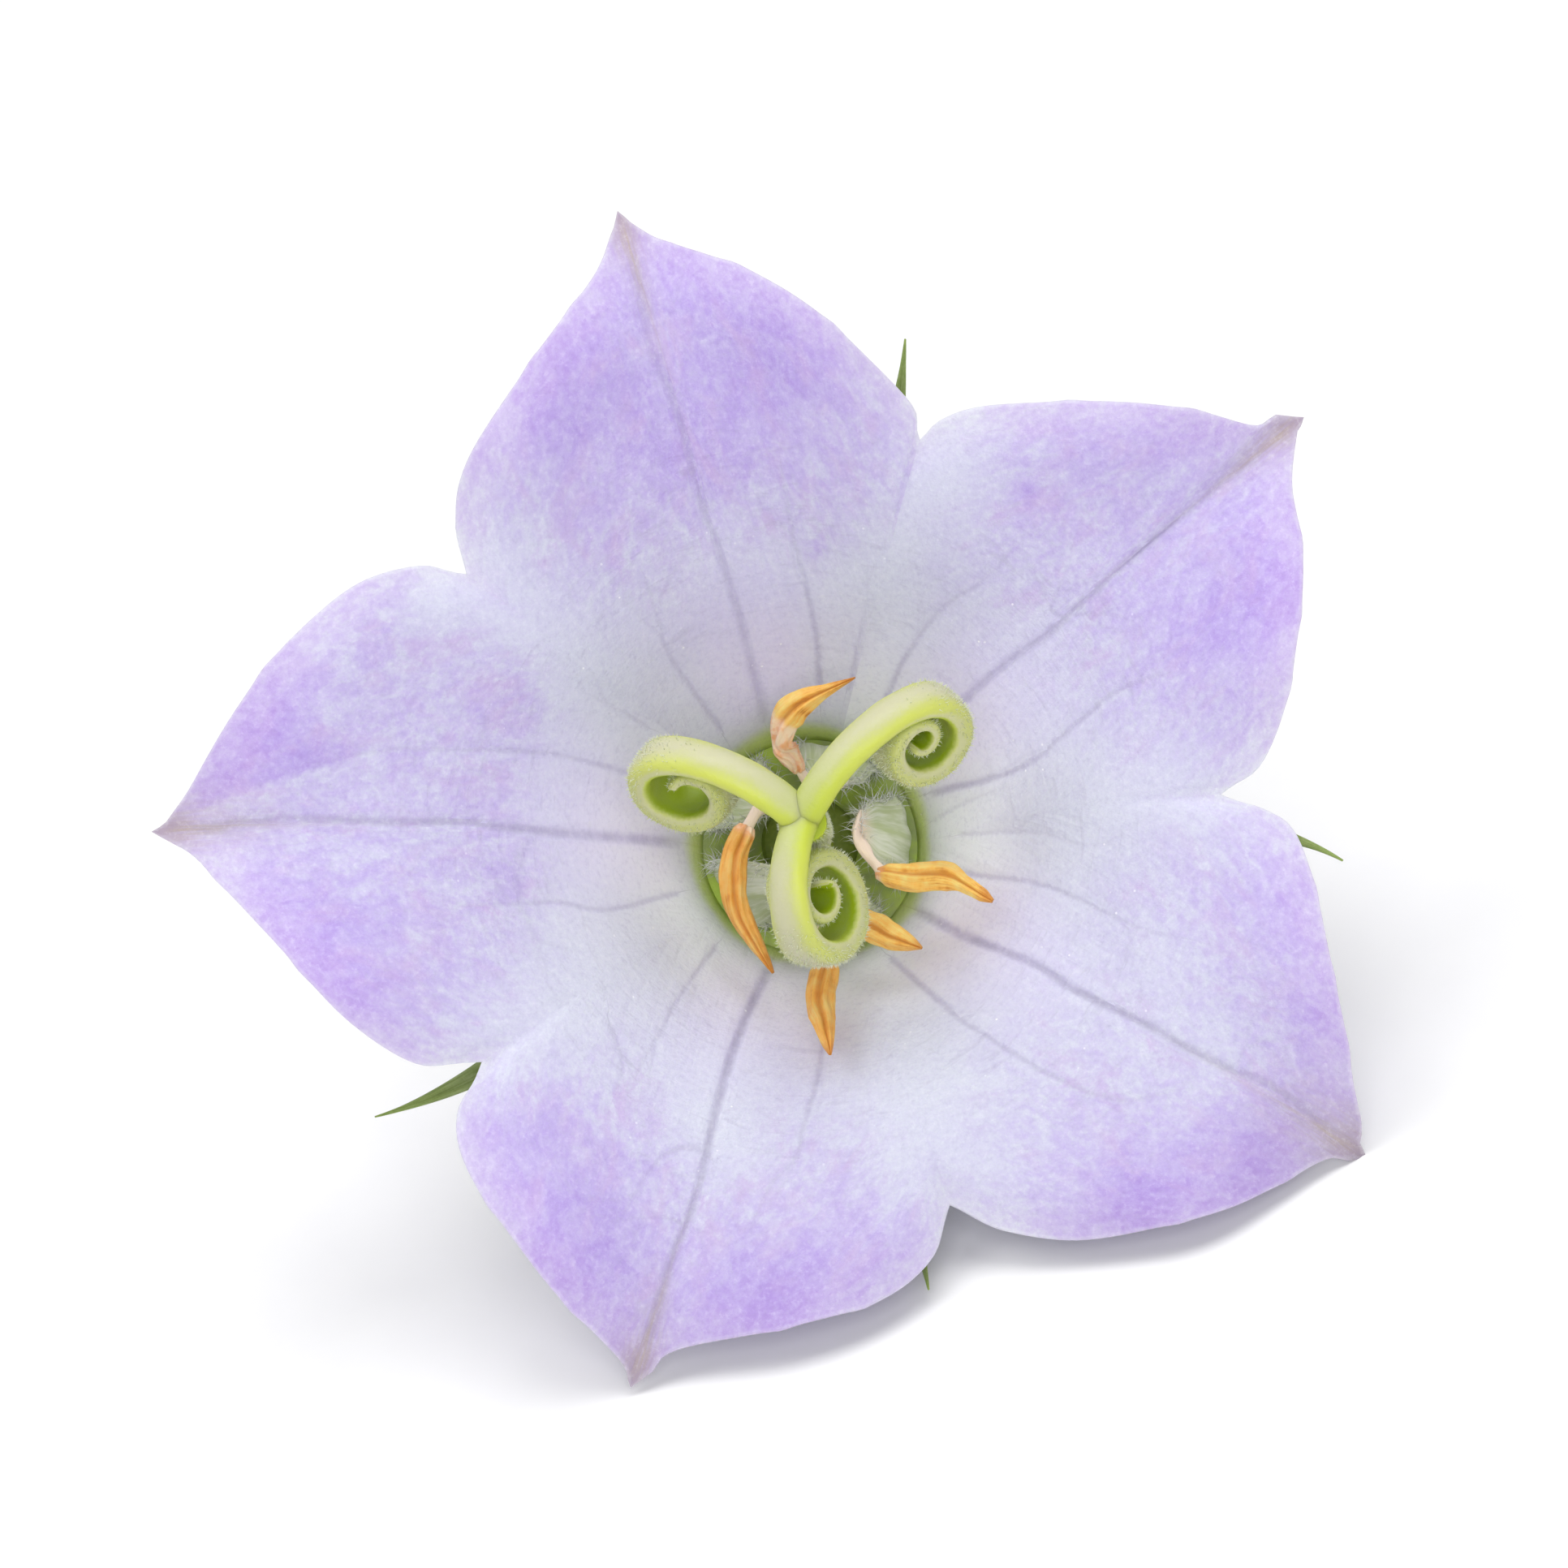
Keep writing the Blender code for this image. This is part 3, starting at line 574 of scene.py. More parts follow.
def veinLines(lobe, plan, draw):
    # the veins of a lobe as rows (start, end, strength at both, width): the drawn ones and finer branches
    lines = []

    def addLine(points, strengths, widths):
        for a, b, first, last, width in zip(points, points[1:], strengths, strengths[1:], widths):
            lines.append((*a, *b, first, last, width))

    def branch(start, heading, length, strength, depth):
        points = [start]
        turn = draw.uniform(-twigs["turn"], twigs["turn"])
        for _ in range(twigs["steps"]):
            heading = heading + turn + draw.normal(0, twigs["wander"])
            step = length / twigs["steps"]
            points.append(points[-1] + step * np.array((math.cos(heading), math.sin(heading))))
            if depth and draw.random() < twigs["forkChance"]:
                aside = heading + draw.choice((-1, 1)) * draw.uniform(0.5, 0.9)
                branch(points[-1], aside, length * draw.uniform(0.3, 0.55), strength * 0.6, depth - 1)
        count = len(points)
        addLine(points, np.linspace(strength, 0.03, count), [twigs["width"]] * count)

    steps = twigs["veinSteps"]
    for corners, strength, width in lobe["veins"]:
        points = curveThrough([onLobe(plan, *corner) for corner in corners], steps + 1)
        points[1:-1] += draw.normal(0, twigs["jitter"], (steps - 1, 2))
        midrib = corners[-1] == (0, 1)
        fade = np.linspace(1, 0.7 if midrib else 0.3, steps + 1)
        addLine(points, strength * fade, width * np.linspace(1.2, 0.8, steps + 1))
        count = twigs["onMidrib"] if midrib else twigs["onOthers"]
        for number in draw.choice(range(5, steps - 1), count, replace=False):
            a, b = points[number], points[number + 1]
            heading = math.atan2(*(b - a)[::-1]) + draw.choice((-1, 1)) * draw.uniform(0.4, 0.8)
            branch(a, heading, draw.uniform(*twigs["length"]), twigs["strength"], 1)
    return np.array(lines)


def besideLines(spots, lines):
    # each spot's offset from its line's start, the line's run, the share along it and the distance from it
    start, run = lines[..., :2], lines[..., 2:4] - lines[..., :2]
    offset = spots - start
    share = np.clip((offset * run).sum(-1) / (run * run).sum(-1), 0, 1)
    return offset, run, share, np.linalg.norm(offset - share[..., None] * run, axis=-1)


def strengthAt(lines, share):
    return lines[..., 4] * (1 - share) + lines[..., 5] * share


def lobeVeins(plan, lines):
    # for each face of a lobe: its corners' signed distance to the nearest vein, that vein's strength and
    # its width
    rows, columns = plan.shape[0] - 1, plan.shape[1] - 1
    corners = np.stack([plan[:-1, :-1], plan[1:, :-1], plan[1:, 1:], plan[:-1, 1:]], 2)
    middles = corners.mean(2).reshape(-1, 1, 2)
    _, _, share, distance = besideLines(middles, lines)
    nearest = (distance - twigs["pull"] * strengthAt(lines, share)).argmin(1)
    chosen = lines[nearest][:, None]
    offset, run, share, distance = besideLines(corners.reshape(-1, 4, 2), chosen)
    side = np.sign(run[..., 0] * offset[..., 1] - run[..., 1] * offset[..., 0])
    width = np.broadcast_to(chosen[..., 6], share.shape)
    laid = np.stack([side * distance, strengthAt(chosen, share), width], -1)
    return laid.reshape(rows, columns, 4, 3)


pigment = {
    "least": 0.18,
    "outwards": 0.27,
    "margin": 0.16,
    "lane": 0.8,
    "laneWidth": 2.0,
    "notch": 0.08,
    "blush": 0.65,
    "most": 1.25,
}


def lobeTint(lobe, plan, across, along):
    # how much pigment the petal holds: most at the margins and tips, little along the lanes to the notches;
    # the folds add painted shade and light, and some blushes and the upper left lobe's depth add painted
    # shade
    spread = np.linalg.norm(plan - onLobe(plan, 1, 1), axis=-1)
    other = np.linalg.norm(plan - onLobe(plan, -1, 1), axis=-1)
    fromNotch = np.minimum(spread, other)
    lane = (1 - np.abs(across)) * np.linalg.norm(plan, axis=-1) * 0.6
    tint = pigment["least"] + pigment["outwards"] * smoothStep((along - 0.3) / 0.5)
    tint = tint + pigment["margin"] * smoothStep((along - 0.75) / 0.25)
    tint = tint + lobe["depth"] * smoothStep((along - 0.15) / 0.4)
    paler = pigment["lane"] * bell(lane, pigment["laneWidth"])
    tint = tint * (1 - paler * (1 - 0.5 * smoothStep((along - 0.6) / 0.4)))
    tint = tint - pigment["notch"] * bell(fromNotch, pigment["laneWidth"])
    for x, y, radius, strength in lobe["blushes"]:
        away = np.linalg.norm(plan - onLobe(plan, x, y), axis=-1)
        tint = tint + pigment["blush"] * strength * bell(away, radius)
    for *corners, strength in lobe.get("folds", ()):
        # painted shade on the margin's side of a fold and painted light on the midrib's side
        line = curveThrough([onLobe(plan, *corner) for corner in corners], 12)
        line = np.hstack([line[:-1], line[1:]])
        away = besideLines(plan.reshape(-1, 1, 2), line)[3].min(1).reshape(plan.shape[:2])
        ahead = line[-1, 2:] - line[0, :2]
        offset = plan - line[0, :2]
        run = (offset @ ahead) / (ahead @ ahead)
        foldAcross = np.interp(along, *zip(*sorted((y, x) for x, y in corners)))
        outside = np.sign((across - foldAcross) * foldAcross)
        near = np.where(outside > 0, bell(away, 1.4), -0.6 * bell(away, 0.5))
        tint = tint + strength * near * smoothStep(run / 0.1) * smoothStep((1 - run) / 0.45)
    return np.clip(tint, 0, pigment["most"])


def tipStripe(along, aside, fan):
    # the midrib turns tan towards the tip, where it fans out
    narrow = 0.5 * smoothStep((along - 0.5) / 0.35) * bell(aside, 0.26)
    wide = 0.6 * smoothStep((along - 0.72) / 0.22) * bell(aside, fan)
    return narrow + wide + 0.5 * smoothStep((along - 0.9) / 0.1) * bell(aside, 1.1)


def corollaSkin(front, along, relief):
    # the section's rows: the thin sheet's inner face, its rim, the CAD's outer face and the sunk foot
    outward = np.gradient(front, axis=0)
    normal = unit(np.cross(outward, np.roll(front, -1, 1) - np.roll(front, 1, 1)))
    sheet = corolla["sheet"] + (corolla["marginSheet"] - corolla["sheet"]) * smoothStep((along - 0.8) / 0.2)
    calm = smoothStep((1 - along) / 0.12)
    back = front - normal * (corolla["wall"] + corolla["ridgeHeight"] * relief * calm)[..., None]
    lift = sheet - corolla["wall"] - corolla["grooveDepth"] * relief
    inner = front + normal * lift[..., None]
    rim = []
    for angle in np.radians((45, 90, 135)):
        middle = (inner[-1] + back[-1]) / 2
        half = (inner[-1] - back[-1]) / 2
        reach = np.linalg.norm(half, axis=-1, keepdims=True)
        rim.append(middle + half * math.cos(angle) + unit(outward[-1]) * reach * math.sin(angle))
    sunk = []
    for face, radius in zip((back, inner), corolla["footRadii"]):
        ring = unit(face[0] * (1, 1, 0)) * radius
        ring[:, 2] = corolla["sinkTo"]
        sunk.append(ring)
    return np.concatenate([inner, np.array(rim), back[::-1], np.array(sunk)])


def corollaFields(plan, along, across, number, fan, tint):
    # what the finish reads, laid from the plan's rows on the section's rows
    rows, columns = corolla["rows"], corolla["columns"]
    source = np.concatenate([np.arange(rows + 1), [rows] * 3, np.arange(rows, -1, -1), [0, 0]])
    behind = np.concatenate([np.zeros(rows + 1), [0.25, 0.5, 0.75], np.ones(rows + 1), [1, 0]])
    behind = np.broadcast_to(behind[:, None], (len(source), plan.shape[1]))
    edge = plan[-1]
    margin = unit(np.roll(edge, -1, 0) - np.roll(edge, 1, 0)) @ np.array(((0, -1), (1, 0)))
    fromEdge = ((edge - plan) * margin).sum(-1)
    width = np.linalg.norm(plan, axis=-1) * np.pi / len(lobes)
    out = along * np.linalg.norm(edge - plan[0], axis=-1)
    seen = {"petal": [], "flow": [], "tint": []}
    for ahead in (0, 1):
        # from a face's near column, then from its far one
        acrossHere = across + ahead * 2 / columns
        aside = acrossHere * np.roll(width, -ahead, 1)
        stripe = tipStripe(along, aside, fan)
        seen["petal"].append(np.dstack([acrossHere, along, np.roll(fromEdge, -ahead, 1)])[source])
        seen["flow"].append(np.dstack([aside, np.roll(out, -ahead, 1), number + 0 * along])[source])
        seen["tint"].append(np.dstack([tint[ahead][source], stripe[source], behind]))
    return seen


def makeCorolla(finish):
    plan = corollaPlan()
    rows, columns = corolla["rows"], corolla["columns"]
    count = len(lobes)
    number, step = np.divmod(np.arange(columns * count), columns)
    along = np.broadcast_to(shares(rows + 1)[:, None], plan.shape[:2])
    across = np.broadcast_to(2 * step / columns - 1, plan.shape[:2])
    waves, fan = np.array([(lobe["wave"], lobe["stripe"]) for lobe in lobes.values()])[number].T
    draw = np.random.default_rng(twigs["seed"])
    veins = np.zeros((rows, columns * count, 4, 3))
    relief = np.zeros(plan.shape[:2])
    tint = np.zeros((2, *plan.shape[:2]))
    for k, lobe in enumerate(lobes.values()):
        here = slice(k * columns, (k + 1) * columns)
        span = (np.arange(columns + 1) + k * columns) % (columns * count)
        lobePlan = plan[:, span]
        lines = veinLines(lobe, lobePlan, draw)
        veins[:, here] = lobeVeins(lobePlan, lines)
        strong = lines[lines[:, 4] > 0.2]
        distance = besideLines(lobePlan.reshape(-1, 1, 2), strong)[3]
        pressed = (strong[:, 4] * bell(distance, 0.7 * strong[:, 6] + 0.08)).max(1)
        relief[:, here] = pressed.reshape(lobePlan.shape[:2])[:, :-1]
        lobeAcross = np.linspace(-1, 1, columns + 1)[None, :]
        held = lobeTint(lobe, lobePlan, lobeAcross, shares(rows + 1)[:, None])
        tint[:, :, here] = held[:, :-1], held[:, 1:]

    front = np.dstack([plan, corollaHeight(plan, across, along, waves)])
    fields = corollaFields(plan, along, across, number, fan, tint)
    mesh = gridMesh("corolla", corollaSkin(front, along, relief), True, fields)

    # the veins differ from face to face, so they are laid on by the faces' corners
    faceRows = np.concatenate([np.arange(rows), [rows - 1] * 4, np.arange(rows - 1, -1, -1), [0, 0, 0]])
    flip = np.concatenate([np.zeros(rows), [2] * 4, np.ones(rows), [3] * 3]).astype(int)
    swaps = np.array(((0, 1, 2, 3), (1, 0, 3, 2), (1, 1, 2, 2), (0, 0, 3, 3)))
    laid = np.take_along_axis(veins[faceRows], swaps[flip][:, None, :, None], 2)
    addCornerField(mesh, "vein", laid)
    return addPiece("bloom_corolla", mesh, finish, ["corolla"])


petalLook = {
    "white": tone(208, 211, 224),
    "palest": tone(200, 199, 221),
    "lilac": tone(191, 182, 219),
    "deep": tone(180, 164, 215),
    "deepest": tone(168, 146, 208),
    "pink": tone(196, 174, 210),
    "bowlRib": tone(221, 216, 247),
    "bowlLane": tone(224, 225, 241),
    # the next two: near white, partly the throat's own paleness and partly painted light that lifts the
    # deep bowl's shade
    "deepRibPaleAndLit": tone(240, 237, 255),
    "deepLanePaleAndLit": tone(240, 244, 252),
    # the veins' tone, also the painted shade in the crinkles' creases
    "vein": tone(156, 150, 173),
    # painted shade on the upper left petal's bowl, also the tone of the darker speckles
    "shade": tone(150, 144, 178),
    "tan": tone(172, 160, 154),
    # the very tip's brown-grey: partly its own browning and partly painted shade under the curled beak
    "tip": tone(148, 134, 152),
    "throat": tone(218, 225, 200),
    "foot": tone(216, 233, 132),
    "rim": tone(226, 227, 239),
    # the white of the painted glints, also of the pale speckles
    "sparkle": tone(250, 250, 255),
}

petalMarks = {
    "clouds": 0.22,
    "mottle": 0.38,
    "fine": 0.34,
    "grains": 0.3,
    "pinks": 0.42,
    "bowl": 0.85,
    # the next two: the near-white deep bowl, partly painted light against its shade, and painted shade on
    # the upper left bowl
    "deepBowlPaleAndLit": 0.8,
    "upperLeftPaintedShade": 0.24,
    "veins": 0.5,
    "haze": 0.08,
    # the next one: how strongly painted shade darkens the crinkles' creases
    "crinkles": 0.16,
    # the next one: how much the very tip darkens, partly browning and partly painted shade
    "tip": 0.6,
    "throat": 0.5,
    "foot": 0.8,
    "rim": 0.1,
    "back": 0.25,
    "paintedGlints": 0.7,
    "shade": 0.16,
    "bloom": 0.13,
}

petalFields = {
    "petal": ("across", "along", "fromEdge"),
    "flow": ("aside", "out", "lobe"),
    "tint": ("tint", "tan", "behind"),
    "vein": ("offVein", "strength", "width"),
}


def petalPlaces(start):
    # where a point lies on its petal, with its tint and nearest vein, as the mesh's fields say
    places = {"here": start.here()}
    for field, names in petalFields.items():
        places.update(zip(names, start.attribute(field).parts()))
    return SimpleNamespace(**places)


def petalPigment(start, at, grains):
    # from soft clouds down to single cells
    clouds = start.noise(at.here, 0.3, 2, 0.5)
    mottle = start.noise((at.aside, at.out * 0.7, at.lobe * 9.0), 1.6, 4, 0.6, 0.8).between(0.3, 0.7)
    fine = start.noise((at.aside * 1.4, at.out, at.lobe * 9.0), 3.2, 3, 0.65).between(0.25, 0.75)
    blotches = (mottle - 0.5) * petalMarks["mottle"] + (fine - 0.5) * petalMarks["fine"]
    held = at.tint + (clouds - 0.5) * petalMarks["clouds"] + blotches * at.tint.between(0.0, 0.5)
    held = held + (grains - 0.5) * petalMarks["grains"]
    colour = (held * 0.72).ramp(
        (0.0, petalLook["white"]),
        (0.18, petalLook["palest"]),
        (0.43, petalLook["lilac"]),
        (0.72, petalLook["deep"]),
        (1.0, petalLook["deepest"]),
    )
    pinks = start.noise((at.aside, at.out * 0.6, at.lobe * 5.0), 0.8, 3, 0.65, 0.6).between(0.46, 0.72)
    pinks = pinks * held.between(0.1, 0.5) * at.fromEdge.between(0.2, 1.8)
    return (pinks * petalMarks["pinks"]).mix(colour, petalLook["pink"])


def petalBowl(at, colour):
    # paler towards the throat, by ribs and lanes; near white deep in the bowl, partly its own paleness and
    # partly painted light that lifts the bowl's shade; the upper left petal's bowl is darkened with painted
    # shade
    byLane = abs(at.across).between(0.25, 0.8)
    bowl = byLane.mix(petalLook["bowlRib"], petalLook["bowlLane"])
    colour = (at.along.between(0.5, 0.1) * petalMarks["bowl"]).mix(colour, bowl)
    deepBowlPaleAndLit = byLane.mix(petalLook["deepRibPaleAndLit"], petalLook["deepLanePaleAndLit"])
    colour = (at.along.between(0.3, 0.06) * petalMarks["deepBowlPaleAndLit"]).mix(colour, deepBowlPaleAndLit)
    onUpperLeft = abs(at.lobe - 1.0).between(1.0, 0.0)
    paintedShade = onUpperLeft * at.along.between(0.4, 0.05) * petalMarks["upperLeftPaintedShade"]
    return paintedShade.mix(colour, petalLook["shade"])


def petalVeins(start, at, colour):
    # a soft darker line whose edges wander, and a faint dark haze beside it
    wander = (start.noise(at.here, 3.0, 3, 0.6) - 0.5) * 0.08
    off = abs(at.offVein + wander) / at.width
    broken = start.noise(at.here, 1.1, 2, 0.5).between(0.2, 0.6) * 0.4 + 0.6
    drawn = off.between(1.9, 0.2) * at.strength * broken
    drawn = drawn * (at.along.between(0.35, 0.85) * -0.2 + 1)
    haze = off.between(4.0, 0.5) * at.strength * petalMarks["haze"]
    return (drawn * petalMarks["veins"] + haze).mix(colour, petalLook["vein"])


def petalOverlays(start, at, paintedCreaseShade, colour):
    # crinkles across the middle with painted shade in their creases, brownish streaks at the tips, the very
    # tip browner and darker with painted shade, green in the throat, the pale rim and back, and painted
    # glints and speckles over all
    streaks = start.noise((at.aside * 7.0, at.out * 0.8, at.lobe * 3.0), 1.0, 3, 0.6).between(0.3, 0.7)
    dots = start.add("ShaderNodeTexVoronoi", None, {"Vector": at.here, "Scale": 1.6}, out="Distance")
    # painted glints: small white highlight dots
    sparkle = dots.between(0.09, 0.04) * start.noise(at.here, 0.5, 1, 0.5).between(0.45, 0.6)
    speckles = start.noise(at.here, 5.0, 3, 0.7)
    return colour.layered(
        petalLook,
        # painted shade in the crinkles' creases
        (paintedCreaseShade * petalMarks["crinkles"], "vein"),
        (at.tan * (streaks * 0.5 + 0.45), "tan"),
        # the very tip browner and darker: its own browning and painted shade under the curled beak
        (at.along.between(0.93, 1.0) * at.tan * petalMarks["tip"], "tip"),
        (at.along.between(0.09, 0.01) * petalMarks["throat"], "throat"),
        (at.along.between(0.035, 0.005) * petalMarks["foot"], "foot"),
        (at.fromEdge.between(0.1, 0.02) * petalMarks["rim"], "rim"),
        (at.behind.between(0.8, 1.0) * petalMarks["back"], "palest"),
        # painted glints: small white highlights
        (sparkle * at.along.between(0.75, 0.4) * petalMarks["paintedGlints"], "sparkle"),
        (speckles.between(0.5, 0.72) * petalMarks["shade"], "shade"),
        (speckles.between(0.5, 0.28) * petalMarks["bloom"], "sparkle"),
    )


def petalFinish():
    soft = (0.75, (0.95, 0.85, 1.0), 0.0008)
    finish, shader, start = startFinish("petal_skin", {"Specular IOR Level": 0.25}, soft)
    at = petalPlaces(start)
    grains = start.noise(at.here, 11.0, 2, 0.6)
    crinkles = start.noise((at.aside * 0.7, at.out * 3.6, at.lobe * 7.0), 1.0, 3, 0.6, 0.5)
    inMiddle = at.along.between(0.08, 0.3) * at.along.between(0.8, 0.5)
    paintedCreaseShade = crinkles.between(0.55, 0.7) * inMiddle
    colour = petalBowl(at, petalPigment(start, at, grains))
    colour = petalOverlays(start, at, paintedCreaseShade, petalVeins(start, at, colour))
    feed(shader, "Base Color", colour)
    feed(shader, "Roughness", grains * 0.3 + 0.4)

    # cells, lengthwise ribs near the throat, the crinkles, and the veins' grooves
    cells = start.noise(at.here, 7.0, 2, 0.7)
    ribs = start.noise((at.aside * 3.2, at.out * 0.35, at.lobe * 5.0), 1.0, 2, 0.55)
    grooves = abs(at.offVein / at.width).between(1.9, 0.2) * at.strength
    relief = cells * 0.4 + ribs * 0.9 * at.along.between(0.95, 0.2)
    relief = relief + crinkles * 0.6 * inMiddle - grooves * 0.35
    feed(shader, "Normal", start.bump(relief, 0.7, 0.12))
    return finish


# Calyx: the ribbed ovary and its five lobes

ovary = {
    "profile": ((4.08, -0.62), (4.12, -0.85), (3.98, -1.25), (3.5, -2.1), (2.8, -3.4), (1.9, -4.5),
                (1.0, -5.15)),
    "crown": ((0.4, -0.6), (2.6, -0.6), (3.6, -0.6), (3.95, -0.6)),
    "end": (0.5, -5.3),
    "sides": 120,
    "rows": 48,
    "ribs": 10,
    "ribDepth": 0.12,
}

sepals = {
    "right": {"bearing": -4.2, "reach": 18.1, "height": 9.0, "width": 1.8, "hook": -14.0},
    "upper": {"bearing": 79.0, "reach": 16.9, "height": 8.8, "width": 1.7, "hook": 3.0},
    "upper_left": {"bearing": 144.0, "reach": 13.4, "height": 6.6, "width": 1.9, "hook": 4.0},
    "lower_left": {"bearing": 214.2, "reach": 17.85, "height": 9.0, "width": 1.5, "hook": -6.6},
    "lower": {"bearing": 283.9, "reach": 16.4, "height": 10.35, "width": 1.6, "hook": -2.0},
}

sepalForm = {
    "root": (2.6, -1.9),
    "turns": ((0.33, -1.0), (0.63, 3.4)),
    "widths": ((0.0, 0.8), (0.25, 1.0), (0.5, 0.82), (0.72, 0.54), (0.86, 0.27), (0.94, 0.12), (1.0, 0.04)),
    "thickness": 0.42,
    "keel": 0.16,
    "rolled": 0.18,
    "channel": 0.1,
    "wobble": 0.05,
    "rows": 70,
    "sides": 28,
}


def ovaryMesh():
    rows = curveThrough(ovary["profile"], ovary["rows"])
    rows = np.vstack([ovary["crown"], rows, ovary["end"]])
    bearing = -aroundAngles(ovary["sides"])
    body = smoothStep((-0.7 - rows[:, 1]) / 0.8)[:, None]
    rib = ovary["ribDepth"] * (np.abs(np.cos(ovary["ribs"] / 2 * bearing)) ** 0.7 * 2 - 1.2) * body
    radius = rows[:, :1] + rib * np.minimum(1, rows[:, :1] / 2.5)
    points = np.stack([radius * np.cos(bearing), radius * np.sin(bearing), rows[:, 1:] + 0 * bearing], -1)
    mesh = gridMesh("ovary", points)
    # the flat top is the floor of the throat
    addPointField(mesh, "throatFloor", smoothStep((points[..., 2] + 0.8) / 0.15))
    return mesh


def sepalMesh(name, sepal, seed):
    turns = [(share * sepal["reach"], height) for share, height in sepalForm["turns"]]
    stations = (sepalForm["root"], *turns, (sepal["reach"], sepal["height"]))
    rows = sepalForm["rows"]
    straight = curveThrough(stations, rows)
    share = shares(rows)
    swing = np.radians(sepal["bearing"] + sepal["hook"] * (share**3 - share))
    path = np.stack([straight[:, 0] * np.cos(swing), straight[:, 0] * np.sin(swing), straight[:, 1]], 1)
    angle = aroundAngles(sepalForm["sides"])[None]
    width = sepal["width"] * profile(sepalForm["widths"], share)[:, None]
    tapered = np.minimum(1, width / sepal["width"] * 2.2)
    side, face = np.cos(angle), np.sin(angle)
    # a keel below, a channel above, the margins rolled down a little
    keel = sepalForm["keel"] * bell(side, 0.22) * (face < 0)
    rolled = -sepalForm["rolled"] * side**4 * width / sepal["width"]
    channel = -sepalForm["channel"] * bell(side, 0.3) * (face > 0)
    wobble = 1 + sepalForm["wobble"] * ripples(np.stack([share * 9, 0 * share], 1), seed, 2.0)[:, None]
    flat = face * sepalForm["thickness"] / 2 * tapered * np.sqrt(np.abs(face) + 0.15)
    up = np.broadcast_to((0.0, 0.0, 1.0), path.shape)
    flatways = flat + rolled + (channel - keel) * tapered
    return gridMesh(name, sweep(path, up, width / 2 * side * wobble, flatways))


def makeCalyx(finish):
    meshes = [ovaryMesh()]
    for number, (name, sepal) in enumerate(sepals.items()):
        meshes.append(sepalMesh(f"sepal_{name}", sepal, number + 11))
    return addPiece("bloom_calyx", joinMeshes("calyx", meshes), finish, ["calyx"])


def greenFinish(name, dark, mid, light, streakPace, throat=None, cut=None):
    soft = (0.15, (0.5, 0.8, 0.3), 0.0004)
    finish, shader, start = startFinish(name, {"Specular IOR Level": 0.4}, soft)
    here = start.here()
    around, run, share = start.attribute("place").parts()
    streaks = start.noise((around * streakPace, run * 0.35, 0.0), 1.0, 4, 0.6)
    patches = start.noise(here, 0.6, 3, 0.6)
    cells = start.noise(here, 7.0, 2, 0.6)
    level = streaks * 0.55 + patches * 0.35 + cells * 0.2
    colour = level.ramp((0.35, dark), (0.55, mid), (0.75, light))
    if throat:
        # the throat floor's brighter green: partly its own colour and partly painted light that lifts the
        # throat's shade
        floor = start.attribute("throatFloor", "Fac")
        colour = floor.mix(colour, patches.between(0.35, 0.65).mix(throat, light))
    if cut:
        colour = share.between(0.996, 1.0).mix(colour, patches.between(0.4, 0.6).mix(cut, light))
    feed(shader, "Base Color", colour)
    feed(shader, "Roughness", cells * 0.3 + 0.35)
    feed(shader, "Normal", start.bump(streaks * 0.7 + cells * 0.3, 0.5, 0.1))
    return finish


# Stalk and nectary disc

stalk = {
    "radius": 0.68,
    "collar": 0.95,
    "bow": 0.35,
    "top": -5.0,
    "rows": 60,
    "sides": 40,
    "ribs": 5,
    "ribDepth": 0.05,
}


def stalkFoot():
    # where the stalk's axis is cut, from the CAD stalk's lowest edge
    low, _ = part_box("stalk")
    axis = bloomTurn @ Vector((0, 0, 1))
    rim = [bloomTurn @ Vector(polar(stalk["radius"] * mm, bearing)) for bearing in aroundAngles(12)]
    drop = min(point.z for point in rim)
    return (low.z - drop - bloomPlace.z) / axis.z / mm


def makeStalk(finish):
    foot = stalkFoot()
    share = shares(stalk["rows"])
    path = np.zeros((stalk["rows"], 3))
    path[:, 1] = -stalk["bow"] * np.sin(np.pi * share)
    path[:, 2] = stalk["top"] + (foot - stalk["top"]) * share
    angle = aroundAngles(stalk["sides"])[None]
    radius = stalk["radius"] + (stalk["collar"] - stalk["radius"]) * ((1 - share) ** 4)[:, None]
    radius = radius - stalk["ribDepth"] * (0.5 - 0.5 * np.cos(stalk["ribs"] * angle))
    mesh = gridMesh("stalk", uprightSweep(path, radius, angle))
    return addPiece("bloom_stalk", mesh, finish, ["stalk"])


disc = {
    "radius": 1.75,
    "foot": -0.32,
    "thickness": 0.84,
    "profile": ((0.0, 0.85), (0.2, 0.95), (0.5, 1.0), (0.8, 0.93), (0.93, 0.8), (1.0, 0.6)),
    "rows": 18,
    "sides": 60,
    "dimples": 0.05,
    "dimpleCount": 5,
    "crownShare": 0.3,
    "crownLift": 0.08,
}


def makeDisc(finish):
    share = shares(disc["rows"])
    path = np.zeros((disc["rows"], 3))
    path[:, 2] = disc["foot"] + disc["thickness"] * share
    angle = aroundAngles(disc["sides"])[None]
    radius = disc["radius"] * profile(disc["profile"], share)[:, None]
    radius = radius - disc["dimples"] * np.abs(np.sin(disc["dimpleCount"] / 2 * angle))
    points = uprightSweep(path, radius, angle)
    crown = points[-1:] * (disc["crownShare"], disc["crownShare"], 1.0) + (0, 0, disc["crownLift"])
    mesh = gridMesh("disc", np.concatenate([points, crown]))
    return addPiece("bloom_disc", mesh, finish, ["nectary_disc"])


# Stamens: a broad hairy plate that arches over the disc, a thread, and a withered anther

